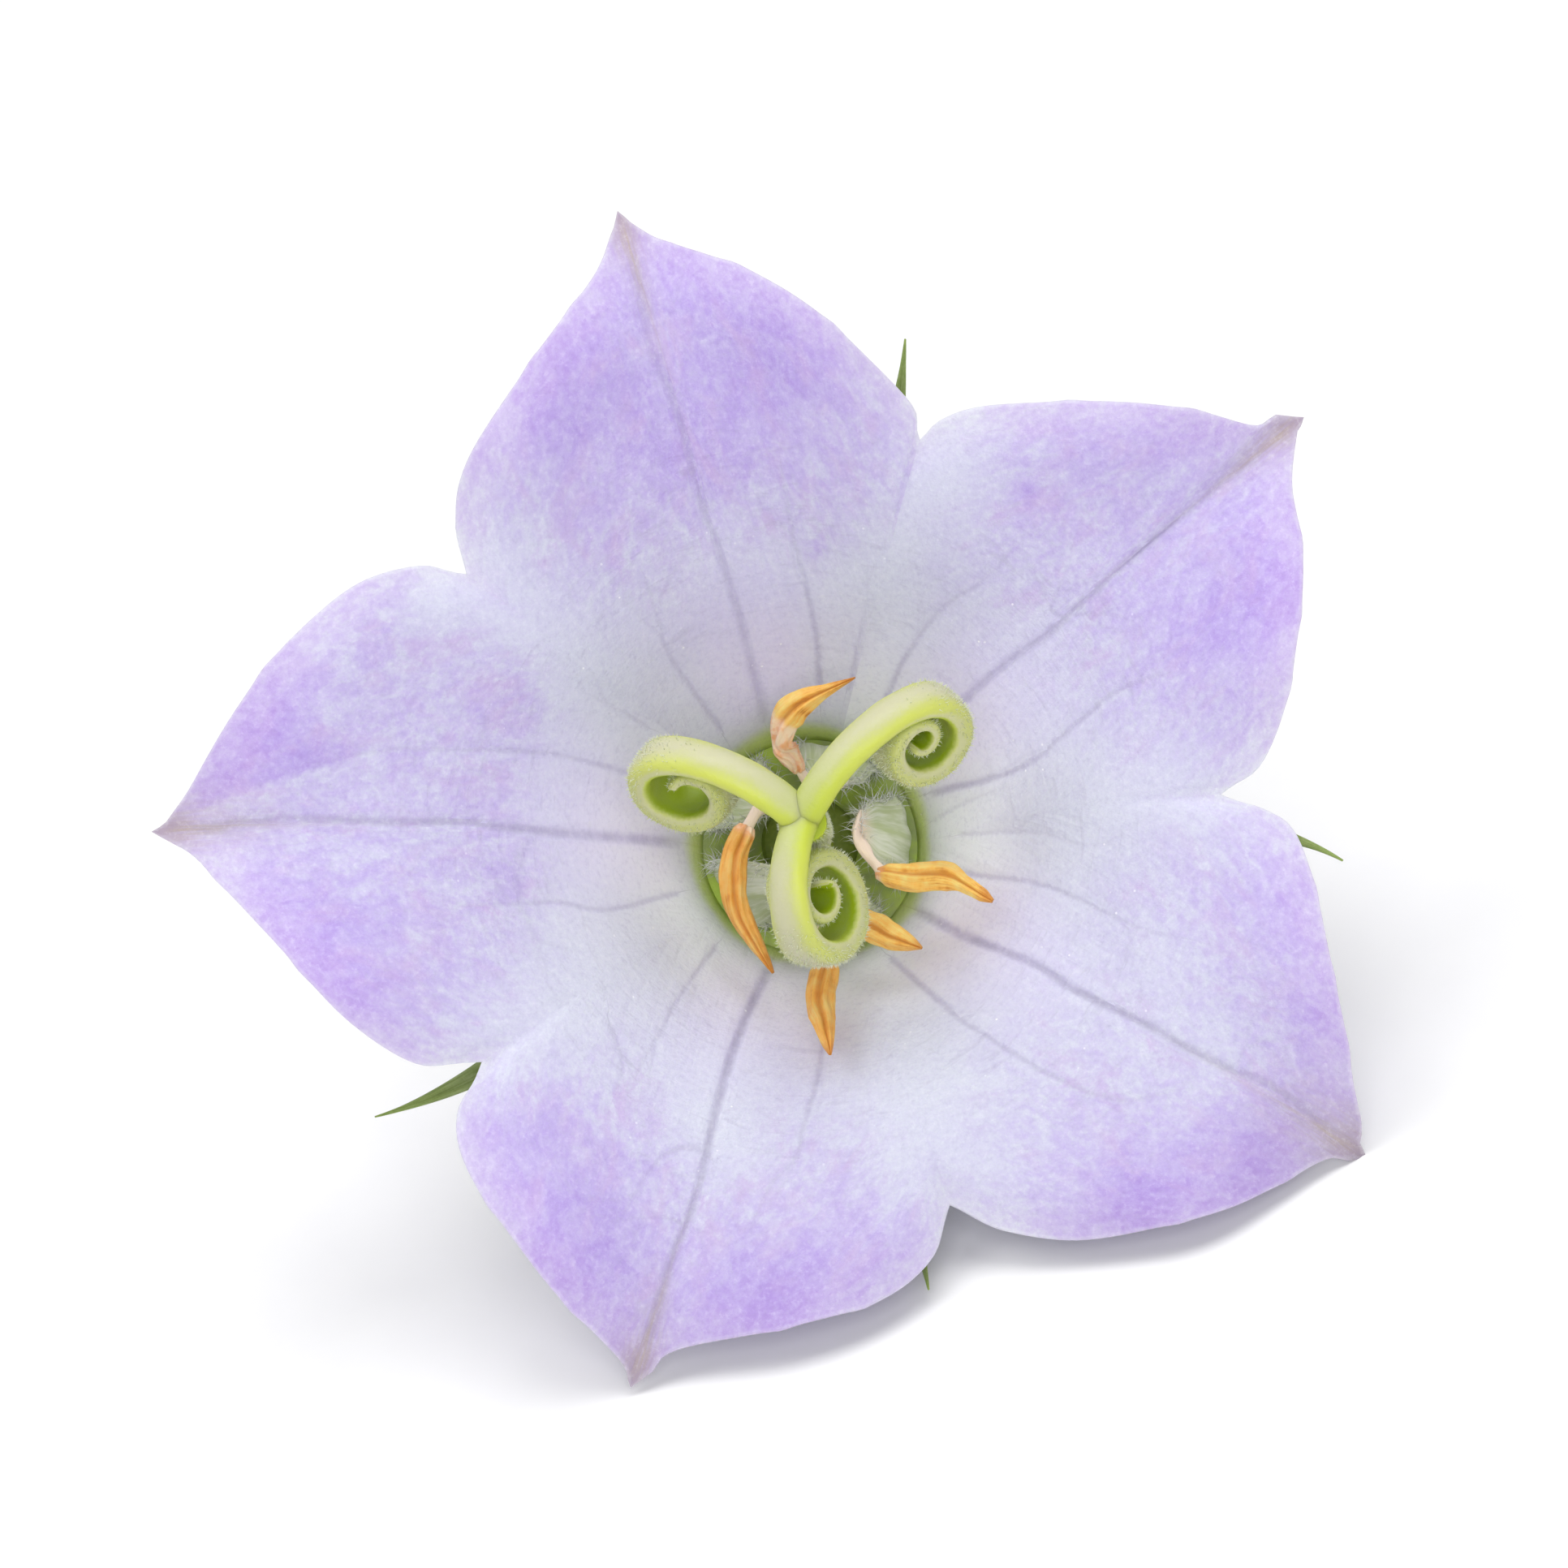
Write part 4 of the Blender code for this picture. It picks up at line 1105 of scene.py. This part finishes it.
stamenForm = {
    "plateRadius": 3.2,
    "plateFoot": -0.45,
    "plateHeight": 1.4,
    "plateWidth": 2.7,
    "plateWidths": ((0.0, 1.1), (0.3, 1.15), (0.48, 0.92), (0.57, 0.5), (0.65, 0.2), (0.85, 0.14),
                    (1.0, 0.15)),
    "plateDepths": ((0.0, 0.4), (0.5, 0.34), (0.7, 0.28), (1.0, 0.22)),
    "antherWidths": ((0.0, 0.4), (0.04, 0.7), (0.14, 0.95), (0.35, 1.0), (0.6, 0.86), (0.85, 0.48),
                     (1.0, 0.1)),
    "antherDepths": ((0.0, 0.5), (0.1, 0.9), (0.6, 0.95), (0.9, 0.6), (1.0, 0.2)),
    "antherDepth": 0.72,
    "plateEnds": 0.62,
    "plateRibs": 0.05,
    "plateCup": 0.25,
    "grooves": (0.5, 0.3),
    "folds": (0.07, 0.04),
    "crumple": 0.06,
    "threadCrumples": (0.07, 0.03, 0.2),
    "rows": 90,
    "sides": 40,
}

stamens = {
    "right": {
        "bearing": 3.0,
        "thread": ((1.6, 0.35, 3.0), (1.95, -0.6, 3.6)),
        "anther": ((2.35, -1.35, 4.2), (3.45, -1.55, 5.1), (4.85, -1.7, 6.2), (6.2, -2.55, 7.2)),
        "width": 1.1,
        "widths": ((0.0, 0.4), (0.08, 0.72), (0.35, 1.0), (0.6, 0.92), (0.74, 0.52), (0.92, 0.4),
                   (1.0, 0.14)),
        "twist": 30.0, "twistAt": 0.7, "face": 10.0, "pink": 0.06, "dried": 0.0,
    },
    "upper": {
        "bearing": 74.0,
        "thread": ((0.45, 1.75, 2.5), (0.0, 1.85, 3.1)),
        "anther": ((-0.4, 2.25, 3.8), (-1.0, 3.35, 4.7), (-0.5, 4.3, 5.6), (1.5, 5.15, 6.9)),
        "width": 1.1,
        "widths": ((0.0, 0.42), (0.08, 0.62), (0.22, 0.85), (0.36, 0.9), (0.48, 1.0), (0.62, 0.78),
                   (0.78, 0.4), (1.0, 0.06)),
        "twist": 75.0, "twistAt": 0.36, "face": 5.0, "pink": 0.42, "dried": 0.3,
    },
    "upper_left": {
        "bearing": 146.0,
        "thread": ((-1.35, 1.15, 2.6), (-1.8, 0.95, 3.3)),
        "anther": ((-2.2, 0.3, 4.0), (-2.65, -0.9, 4.2), (-2.55, -2.5, 4.6), (-1.3, -4.9, 5.6)),
        "width": 0.92,
        "widths": ((0.0, 0.6), (0.04, 0.85), (0.3, 1.0), (0.55, 0.9), (0.78, 0.55), (0.92, 0.28),
                   (1.0, 0.1)),
        "twist": 40.0, "twistAt": 0.5, "face": 25.0, "pink": 0.05, "dried": 0.75,
    },
    "lower_left": {
        "bearing": 218.0,
        "thread": ((-0.8, -1.9, 2.6), (0.35, -3.55, 3.7)),
        "anther": ((0.6, -4.35, 4.6), (0.35, -5.65, 5.8), (0.45, -6.8, 7.1), (0.65, -7.85, 8.2)),
        "width": 1.05,
        "twist": -30.0, "twistAt": 0.6, "face": -10.0, "pink": 0.02, "dried": 0.6,
    },
    "lower_right": {
        "bearing": 290.0,
        "thread": ((0.95, -1.85, 2.6), (1.1, -2.25, 3.3)),
        "anther": ((1.45, -2.85, 4.0), (2.15, -3.25, 4.5), (2.95, -3.65, 5.1), (3.8, -4.05, 5.7)),
        "width": 1.05,
        "twist": 20.0, "twistAt": 0.5, "face": 15.0, "pink": 0.02, "dried": 0.1,
    },
}


def makeFilament(name, stamen, finish):
    bearing = math.radians(stamen["bearing"])
    root = polar(stamenForm["plateRadius"], bearing, stamenForm["plateFoot"])
    shoulder = polar(stamenForm["plateRadius"], bearing, stamenForm["plateHeight"])
    first, second = np.array(stamen["anther"][0]), np.array(stamen["anther"][1])
    joint = first * 0.85 + second * 0.15
    path = curveThrough((root, shoulder, *stamen["thread"], joint), stamenForm["rows"])
    share = shares(stamenForm["rows"])
    angle = aroundAngles(stamenForm["sides"])[None]
    side, face = np.cos(angle), np.sin(angle)
    width = stamenForm["plateWidth"] * profile(stamenForm["plateWidths"], share)[:, None]
    depth = profile(stamenForm["plateDepths"], share)[:, None]
    plate = smoothStep((stamenForm["plateEnds"] - share) / 0.15)[:, None]
    ribs = stamenForm["plateRibs"] * np.cos(side * 9) * plate
    crumpled = ripples(path, int(stamen["bearing"]) + 3, 0.9)[:, None] * (1 - plate)
    lying = smoothStep((share - stamenForm["plateEnds"]) / 0.2)[:, None]
    facing = polar(1, bearing) * (1 - lying) + np.array((0, 0, 1)) * lying
    flat = face * (depth / 2 + ribs) - stamenForm["plateCup"] * side**2 * plate
    tilted, shifted, swollen = stamenForm["threadCrumples"]
    flat = flat + tilted * crumpled * side + shifted * crumpled
    points = sweep(path, facing, side * width / 2 * (1 + swollen * crumpled), flat)
    mesh = gridMesh(f"filament_{name}", points)
    # hairs along the plate's margins and at its head
    fuzz = smoothStep((np.abs(side) - 0.72) / 0.2)
    fuzz = fuzz + 0.25 * smoothStep((share - 0.5) / 0.1)[:, None]
    fuzz = fuzz * smoothStep((0.75 - share) / 0.12)[:, None]
    fuzz = fuzz * smoothStep((share - 0.05) / 0.1)[:, None]
    addPointField(mesh, "fuzz", fuzz)
    return addPiece(f"bloom_filament_{name}", mesh, finish, [f"filament_{name}"])


def makeAnther(name, stamen, finish):
    corners = np.array(stamen["anther"])
    path = curveThrough(corners, stamenForm["rows"])
    share = shares(stamenForm["rows"])
    chord = Vector(corners[-1] - corners[0]).normalized()
    twisted = smoothStep((share - stamen["twistAt"]) / 0.3 + 0.5) - 1
    turns = np.radians(stamen["twist"] * twisted + stamen["face"])
    facing = np.array([Matrix.Rotation(turn, 3, chord) @ Vector((0, 0, 1)) for turn in turns])
    angle = aroundAngles(stamenForm["sides"])[None]
    side, face = np.cos(angle), np.sin(angle)
    seed = int(stamen["bearing"]) + 7
    width = stamen["width"] * profile(stamen.get("widths", stamenForm["antherWidths"]), share)[:, None]
    depth = stamenForm["antherDepth"] * profile(stamenForm["antherDepths"], share)[:, None]
    # two thecae with a deep groove between, and finer folds that wander along the withered wall
    wander = 0.35 * ripples(np.stack([share * 4, 0 * share], 1), seed, 2.5)[:, None]
    above, below = stamenForm["grooves"]
    groove = above * bell(side - wander * 0.4, 0.2) * (face > 0)
    under = below * bell(side, 0.3) * (face < 0)
    broad, fine = stamenForm["folds"]
    folds = broad * np.sin(7 * angle + 5 * wander) + fine * np.sin(12 * angle - 3 * wander)
    circle = np.stack([0 * angle, side, face], -1)
    crumple = 1 + folds + stamenForm["crumple"] * ripples(path[:, None] + circle, seed, 0.9)
    flatways = face * depth / 2 * crumple * (1 - groove - under)
    points = sweep(path, facing, side * width / 2 * crumple, flatways)
    mesh = gridMesh(f"anther_{name}", points)
    pink = smoothStep((stamen["pink"] - share) / 0.06 + 0.5)[:, None] + 0 * points[..., 0]
    addPointField(mesh, "pink", pink)
    addPointField(mesh, "dried", stamen["dried"] + 0 * pink)
    return addPiece(f"bloom_anther_{name}", mesh, finish, [f"anther_{name}"])


antherLook = {
    "bright": tone(255, 228, 138),
    "orange": tone(255, 196, 94),
    # brown: the withered browning, also the painted shade in the groove
    "brown": tone(204, 124, 42),
    "base": tone(244, 178, 128),
    "pinkWhite": tone(255, 226, 200),
}


def antherFinish():
    soft = (0.2, (0.9, 0.5, 0.2), 0.0003)
    finish, shader, start = startFinish("anther_skin", {"Specular IOR Level": 0.45}, soft)
    here = start.here()
    around, run, share = start.attribute("place").parts()
    lines = start.noise((around * 26.0, run * 0.5, 0.0), 1.0, 4, 0.65)
    patches = start.noise(here, 1.4, 3, 0.6)
    level = lines * 0.5 + patches * 0.5
    colour = level.ramp((0.32, antherLook["brown"]), (0.46, antherLook["orange"]),
                        (0.62, antherLook["bright"]))
    # painted shade darkens the groove between the thecae; the tip end and the withered anthers are browner
    groove = abs(around - 0.25).between(0.05, 0.0)
    dried = start.attribute("dried", "Fac")
    for browningAndGrooveShade in (groove * 0.7, share.between(0.85, 1.0) * 0.7, dried * 0.55):
        colour = browningAndGrooveShade.mix(colour, antherLook["brown"])
    pink = start.attribute("pink", "Fac")
    pinks = patches.between(0.4, 0.6).mix(antherLook["base"], antherLook["pinkWhite"])
    colour = (pink * 0.85).mix(colour, pinks)
    feed(shader, "Base Color", colour)
    feed(shader, "Roughness", patches * 0.3 + 0.35)
    feed(shader, "Normal", start.bump(lines + start.noise(here, 8.0, 2, 0.6) * 0.3, 0.6, 0.08))
    return finish


def filamentFinish():
    finish, shader, start = startFinish("filament_skin", {}, (0.3, (0.8, 0.8, 0.5), 0.0004))
    here = start.here()
    around, run, share = start.attribute("place").parts()
    lines = start.noise((around * 30.0, run * 0.5, 0.0), 1.0, 3, 0.6)
    colour = lines.between(0.35, 0.7).mix(tone(184, 196, 146), tone(222, 227, 204))
    # the thread's cream pink: partly its own colour and partly painted light that lifts its shade
    colour = share.between(0.48, 0.66).mix(colour, tone(250, 226, 204))
    colour = share.between(0.12, 0.0).mix(colour, tone(170, 190, 106))
    feed(shader, "Base Color", colour)
    feed(shader, "Roughness", start.noise(here, 4.0, 2, 0.5) * 0.3 + 0.4)
    feed(shader, "Normal", start.bump(lines, 0.5, 0.06))
    return finish


# Pistil: the style and three stigma lobes that roll up

style = {
    "radius": 0.7,
    "swell": 1.15,
    "head": (-0.3, -0.05, 10.4),
    "sunk": 0.35,
    "threeSided": 0.05,
    "footFlare": 0.15,
    "rows": 80,
    "sides": 36,
}

stigmaForm = {
    "width": 1.8,
    "thickness": 1.2,
    "archRows": 40,
    "rollRows": 190,
    "tightens": 0.44,
    "trough": 0.4,
    "unevenness": 0.025,
    "drifts": ((0, 1.0), (230, 1.0), (290, 0.0), (400, -0.7), (660, -0.7)),
    "widths": ((-40, 0.68), (-10, 0.8), (40, 0.92), (90, 1.0), (300, 1.0), (450, 0.9), (600, 0.75)),
    "depths": ((-40, 0.9), (0, 0.8), (90, 0.78), (250, 0.72), (360, 0.5), (500, 0.36), (600, 0.28)),
    "sides": 40,
}

stigmaLobes = {
    "left": {
        "bearing": 150.0, "rise": 21.0, "arch": 2.1, "roll": 1.7, "ease": 83.0,
        "turn": 35.0, "side": 1, "drift": -1.4, "rolled": 470.0, "curlFrom": 230.0, "curl": 0.3,
    },
    "right": {
        "bearing": 43.0, "rise": 32.0, "arch": 3.4, "roll": 1.6, "ease": 60.0,
        "turn": 39.0, "side": -1, "drift": 0.4, "rolled": 640.0, "curlFrom": 300.0, "curl": 0.45,
    },
    "lower": {
        "bearing": 268.0, "rise": 33.0, "arch": 2.2, "roll": 1.95, "ease": 33.0,
        "turn": 39.5, "side": 1, "drift": -1.0, "rolled": 660.0, "curlFrom": 290.0, "curl": 0.4,
    },
}


def lobePath(lobe):
    # centre points of a rolled lobe, its heading at each in radians, and the direction across it
    bearing, turn = math.radians(lobe["bearing"]), math.radians(lobe["turn"])
    outward = polar(1, bearing)
    aside = polar(1, bearing + lobe["side"] * math.pi / 2)
    inward = aside * math.sin(turn) - np.array((0, 0, math.cos(turn)))
    across = np.cross(outward, inward)
    rise, ease = math.radians(lobe["rise"]), math.radians(lobe["ease"])
    rolled = math.radians(lobe["rolled"])
    swings = np.array([rise / stigmaForm["archRows"]] * stigmaForm["archRows"]
                      + [rolled / stigmaForm["rollRows"]] * stigmaForm["rollRows"])
    heading = np.concatenate([[0], np.cumsum(swings)]) - rise
    middle = (heading[1:] + heading[:-1]) / 2
    past = np.maximum(0, middle - math.radians(lobe["curlFrom"]))
    tightened = 1 + stigmaForm["tightens"] * np.maximum(0, middle) / (2 * np.pi) + lobe["curl"] * past
    eased = smoothStep(middle / ease)
    archBend, rollBend = rise / lobe["arch"], 1 / lobe["roll"]
    steps = swings / (archBend + (rollBend * tightened - archBend) * eased)
    way = np.outer(np.cos(middle), outward) + np.outer(np.sin(middle), inward)
    drift = lobe["drift"] * eased * profile(stigmaForm["drifts"], np.degrees(middle))
    moves = way * steps[:, None] + np.outer(drift * swings / (2 * np.pi), across)
    path = np.vstack([[0, 0, 0], np.cumsum(moves, axis=0)]) + np.array(style["head"])
    return path, heading, across


def lobeMesh(name, lobe):
    path, heading, across = lobePath(lobe)
    degrees = np.degrees(heading)
    angle = aroundAngles(stigmaForm["sides"])[None]
    width = stigmaForm["width"] * profile(stigmaForm["widths"], degrees)[:, None]
    depth = stigmaForm["thickness"] * profile(stigmaForm["depths"], degrees)[:, None]
    side, face = np.cos(angle), np.sin(angle)
    # round where the arm arches, then a strap with thick margins and a shallow trough inside
    strap = smoothStep((degrees[:, None] - 10) / 80)
    face = np.sign(face) * np.abs(face) ** (1 - 0.5 * strap)
    side = np.sign(side) * np.abs(side) ** (1 - 0.25 * strap)
    trough = strap * (face > 0) * stigmaForm["trough"] * bell(side, 0.6)
    skin = path[:, None] + np.stack([side + 0 * width, face + 0 * width, 0 * side + 0 * width], -1)
    uneven = 1 + stigmaForm["unevenness"] * ripples(skin, 29, 1.3)
    facing = np.cross(np.broadcast_to(across, path.shape), unit(np.gradient(path, axis=0)))
    points = sweep(path, facing, side * width / 2 * uneven, depth / 2 * face * (1 - trough) * uneven)
    mesh = gridMesh(name, points)
    fuzz = smoothStep(0.6 - face) * smoothStep((degrees[:, None] - 15) / 75)
    addPointField(mesh, "fuzz", fuzz + 0 * points[..., 0])
    addPointField(mesh, "turned", np.broadcast_to((degrees / 360)[:, None], points.shape[:2]))
    return mesh


def styleMesh():
    share = shares(style["rows"])
    head = np.array(style["head"])
    path = np.zeros((style["rows"], 3))
    foot = stance["styleFoot"] - style["sunk"]
    path[:, 2] = foot + (head[2] - foot) * share
    path[:, :2] = head[:2] * (share**2)[:, None]
    angle = aroundAngles(style["sides"])[None]
    radius = style["radius"] * (1 + (style["swell"] - 1) * share)[:, None]
    radius = radius * (1 + style["threeSided"] * np.cos(3 * angle))
    radius = radius * (1 + style["footFlare"] * smoothStep((0.1 - share) / 0.1))[:, None]
    mesh = gridMesh("style", uprightSweep(path, radius, angle))
    fuzz = smoothStep((share - 0.35) / 0.2)[:, None] * smoothStep((1 - share) / 0.08)[:, None] + 0 * angle
    addPointField(mesh, "fuzz", fuzz)
    addPointField(mesh, "turned", 0 * fuzz - 1)
    return mesh


def makePistil(finish):
    meshes = [styleMesh()]
    meshes += [lobeMesh(f"stigma_{name}", lobe) for name, lobe in stigmaLobes.items()]
    return addPiece("bloom_pistil", joinMeshes("pistil", meshes), finish, ["pistil"])


stigmaLook = {
    # the pale cream of the back: partly its own colour and partly a painted highlight along the crest and
    # on the rims
    "crest": tone(200, 199, 162),
    "pale": tone(194, 197, 134),
    "green": tone(203, 211, 86),
    "deep": tone(178, 197, 44),
    # the hollow: the inner face's own green, deepened with painted shade inside the coils
    "hollow": tone(148, 170, 14),
}


def stigmaFinish():
    constants = {"Specular IOR Level": 0.4, "Coat Weight": 0.05, "Coat Roughness": 0.35}
    finish, shader, start = startFinish("stigma_skin", constants, (0.5, (1.0, 1.0, 0.5), 0.0006))
    here = start.here()
    around = start.attribute("place").parts()[0]
    turned = start.attribute("turned", "Fac")
    # around is 0.25 on the inner face and 0.75 on the middle of the back
    fromInner = abs(around - 0.25)
    fromInner = fromInner.maths("MINIMUM", fromInner, 1.25 - around)
    fromCrest = 0.5 - fromInner
    inner = fromInner.between(0.24, 0.16)
    patches = start.noise(here, 0.9, 3, 0.55)
    fine = start.noise(here, 8.0, 2, 0.6)
    level = fromCrest + (patches - 0.5) * 0.12 + (fine - 0.5) * 0.05
    # pale cream along the crest, greener towards the margins: partly the lobe's own colour and partly a
    # painted highlight
    colour = level.between(0.15, 0.0).mix(stigmaLook["pale"], stigmaLook["crest"])
    greener = turned.between(0.4, -0.1) * 0.75 + 0.25
    # a painted highlight: a pale line along the rolled rims
    rimHighlight = level.between(0.23, 0.27) * level.between(0.33, 0.29)
    colour = colour.layered(
        stigmaLook,
        (level.between(0.06, 0.2) * greener, "green"),
        (turned.between(0.02, -0.11) * 0.6, "deep"),
        # deeper green inside the coils: the inner face's own green with painted shade
        (level.between(0.3, 0.4) * turned.between(0.0, 0.5), "hollow"),
        (inner * turned.between(0.4, 0.1), "deep"),
        # the painted highlight on the rims
        (rimHighlight * turned.between(-0.02, 0.12) * 0.6, "crest"),
    )
    feed(shader, "Base Color", colour)
    feed(shader, "Roughness", fine * 0.3 + 0.3)
    feed(shader, "Normal", start.bump(fine + patches * 0.4, 0.35, 0.05))
    return finish


# Hairs: grown over a piece where its "fuzz" says so, by Geometry Nodes

def hairTree(name):
    tree = bpy.data.node_groups.new(name, "GeometryNodeTree")
    for title, kind in (("Skin", "Geometry"), ("Density", "Float"), ("Length", "Float"),
                        ("Radius", "Float"), ("Lean", "Float"), ("Bend", "Float"), ("Seed", "Int"),
                        ("Finish", "Material")):
        tree.interface.new_socket(title, in_out="INPUT", socket_type=f"NodeSocket{kind}")
    tree.interface.new_socket("Hairs", in_out="OUTPUT", socket_type="NodeSocketGeometry")
    given = {socket.name: Wire(tree, socket) for socket in tree.nodes.new("NodeGroupInput").outputs}
    make = Wire(tree)

    fuzz = make.add("GeometryNodeInputNamedAttribute", {"data_type": "FLOAT"}, {"Name": "fuzz"},
                    "Attribute")
    values = {"Mesh": given["Skin"], "Density": given["Density"] * fuzz, "Seed": given["Seed"]}
    spread = make.add("GeometryNodeDistributePointsOnFaces", {"distribute_method": "RANDOM"}, values)
    upright = Wire(tree, spread.socket.node.outputs["Rotation"])

    # a cone that bends over as it rises
    values = {"Vertices": 4, "Side Segments": 3, "Radius Top": 0.0, "Radius Bottom": given["Radius"],
              "Depth": given["Length"]}
    cone = make.add("GeometryNodeMeshCone", {"fill_type": "NGON"}, values)
    risen = make.add("GeometryNodeInputPosition").parts()[2] / given["Length"]
    bend = make.vector(risen * risen * (given["Bend"] * given["Length"]), 0.0, 0.0)
    bent = make.add("GeometryNodeSetPosition", None, {"Geometry": cone, "Offset": bend})

    # each hair leans aside, turns about itself and has its own size
    lean, seed = given["Lean"], given["Seed"]
    back = lean * -1.0
    values = {0: make.vector(back, back, -math.pi), 1: make.vector(lean, lean, math.pi), "Seed": seed}
    leaning = make.add("FunctionNodeRandomValue", {"data_type": "FLOAT_VECTOR"}, values)
    values = {"Rotation": upright, "Rotate By": make.add("FunctionNodeEulerToRotation", None, {0: leaning})}
    turned = make.add("FunctionNodeRotateRotation", {"rotation_space": "LOCAL"}, values)
    size = make.add("FunctionNodeRandomValue", {"data_type": "FLOAT"}, {2: 0.5, 3: 1.15, "Seed": seed}, 1)
    values = {"Points": spread, "Instance": bent, "Rotation": turned, "Scale": size}
    placed = make.add("GeometryNodeInstanceOnPoints", None, values)
    real = make.add("GeometryNodeRealizeInstances", None, {"Geometry": placed})
    dressed = make.add("GeometryNodeSetMaterial", None, {"Geometry": real, "Material": given["Finish"]})
    tree.links.new(dressed.socket, tree.nodes.new("NodeGroupOutput").inputs["Hairs"])
    return tree


def growHairs(name, skin, settings, finish):
    tree = hairTree(f"{name}_growth")
    holder = newObject(f"{name}_holder", skin.data.copy())
    growth = holder.modifiers.new("growth", "NODES")
    growth.node_group = tree
    values = {**settings, "Finish": finish}
    for socket in tree.interface.items_tree:
        if socket.in_out == "INPUT" and socket.name in values:
            growth[socket.identifier] = values[socket.name]
    graph = bpy.context.evaluated_depsgraph_get()
    grown = bpy.data.meshes.new_from_object(holder.evaluated_get(graph), depsgraph=graph)
    bpy.data.objects.remove(holder)
    grown.shade_smooth()
    print(" ", name, len(grown.polygons), "faces")
    return addPiece(name, grown, finish)


papillae = {"Density": 90e6, "Length": 0.00015, "Radius": 0.000016, "Lean": 0.4, "Bend": 0.3, "Seed": 5}
cilia = {"Density": 60e6, "Length": 0.00055, "Radius": 0.000022, "Lean": 0.9, "Bend": 0.9, "Seed": 8}


def hairFinish(name, root, tip):
    finish, shader, start = startFinish(name, {"Specular IOR Level": 0.3}, (0.3, (1, 1, 0.8), 0.0002))
    here = start.here()
    feed(shader, "Base Color", start.noise(here, 2.5, 2, 0.5).between(0.35, 0.65).mix(root, tip))
    feed(shader, "Roughness", start.noise(here, 6.0, 1, 0.5) * 0.3 + 0.35)
    return finish


# Camera, floor and light

camera = {
    "target": (-0.92, 0.92, 12.8),
    "tilt": 5.5,
    "distance": 270.0,
    "pixelSize": 0.0272,
    "pixels": 1932,
}


def makeCamera():
    tilt = math.radians(camera["tilt"])
    backward = Vector((0, -math.sin(tilt), math.cos(tilt)))
    upward = Vector((0, math.cos(tilt), math.sin(tilt)))
    sight = bloomTurn @ Matrix((upward.cross(backward), upward, backward)).transposed()
    target = Vector(toWorld(np.array(camera["target"])))
    seat = target + sight @ Vector((0, 0, camera["distance"] * mm))
    eye = bpy.data.cameras.new("eye")
    eye.sensor_width = 36
    eye.lens = eye.sensor_width * camera["distance"] / (camera["pixels"] * camera["pixelSize"])
    eye.clip_start, eye.clip_end = 0.01, 20
    eyeObject = newObject("eye", eye)
    eyeObject.matrix_world = Matrix.LocRotScale(seat, sight.to_quaternion(), None)
    bpy.context.scene.camera = eyeObject
    return sight, target


studio = {
    "floorSize": 6.0,
    "sky": 0.4,
    "key": {"place": (0.0, 0.42, 0.2), "size": 0.34, "power": 1.0},
    "side": {"place": (-0.3, 0.3, 0.2), "size": 0.34, "power": 0.67},
    "front": {"place": (0.0, 0.0, 0.46), "size": 0.34, "power": 0.87},
}


def makeFloor():
    half = studio["floorSize"] / 2
    mesh = bpy.data.meshes.new("floor")
    corners = [(-half, -half, 0), (half, -half, 0), (half, half, 0), (-half, half, 0)]
    mesh.from_pydata(corners, [], [(0, 1, 2, 3)])
    finish, shader, start = startFinish("floor_paper", {"Specular IOR Level": 0.2, "Roughness": 0.8})
    grain = start.noise(start.here(), 0.6, 3, 0.5)
    feed(shader, "Base Color", grain.mix(tone(247, 247, 248), tone(250, 250, 250)))
    mesh.materials.append(finish)
    newObject("floor", mesh)


def makeLights(sight, target):
    # lamp places are in the photo's own axes: right, up, towards the camera
    for name in ("key", "side", "front"):
        lamp = studio[name]
        light = bpy.data.lights.new(name, "AREA")
        light.shape, light.size, light.energy = "DISK", lamp["size"], lamp["power"]
        spot = target + sight @ Vector(lamp["place"])
        aim = (spot - target).to_track_quat("Z", "Y")
        newObject(name, light).matrix_world = Matrix.LocRotScale(spot, aim, None)
    sky = bpy.data.worlds.new("sky")
    sky.use_nodes = True
    back = sky.node_tree.nodes["Background"]
    back.inputs["Color"].default_value = (1.0, 1.0, 1.0, 1.0)
    back.inputs["Strength"].default_value = studio["sky"]
    bpy.context.scene.world = sky
    bpy.context.scene.view_settings.view_transform = "Standard"


sight, target = makeCamera()
makeFloor()
makeLights(sight, target)
print("camera, floor and lights set")

makeCorolla(petalFinish())
print("corolla made")
calyxTones = (tone(112, 132, 58), tone(142, 162, 84), tone(174, 190, 122))
# the throat floor's green is partly its own colour and partly painted light against the throat's shade
makeCalyx(greenFinish("calyx_skin", *calyxTones, 24.0, throat=tone(206, 232, 92)))
stalkTones = (tone(96, 116, 52), tone(130, 150, 76), tone(164, 180, 110))
makeStalk(greenFinish("stalk_skin", *stalkTones, 12.0, cut=tone(214, 222, 170)))
makeDisc(greenFinish("nectar_skin", tone(96, 116, 36), tone(124, 142, 52), tone(150, 164, 76), 10.0))
print("calyx, stalk and disc made")

plateSkin, antherSkin = filamentFinish(), antherFinish()
ciliaSkin = hairFinish("cilia_skin", tone(206, 212, 196), tone(238, 240, 232))
for name, stamen in stamens.items():
    plate = makeFilament(name, stamen, plateSkin)
    makeAnther(name, stamen, antherSkin)
    settings = {**cilia, "Seed": int(stamen["bearing"])}
    growHairs(f"bloom_cilia_{name}", plate, settings, ciliaSkin)
print("stamens made")

pistil = makePistil(stigmaFinish())
papillaeSkin = hairFinish("papillae_skin", tone(212, 220, 166), tone(234, 238, 210))
growHairs("bloom_papillae", pistil, papillae, papillaeSkin)
print("pistil made")
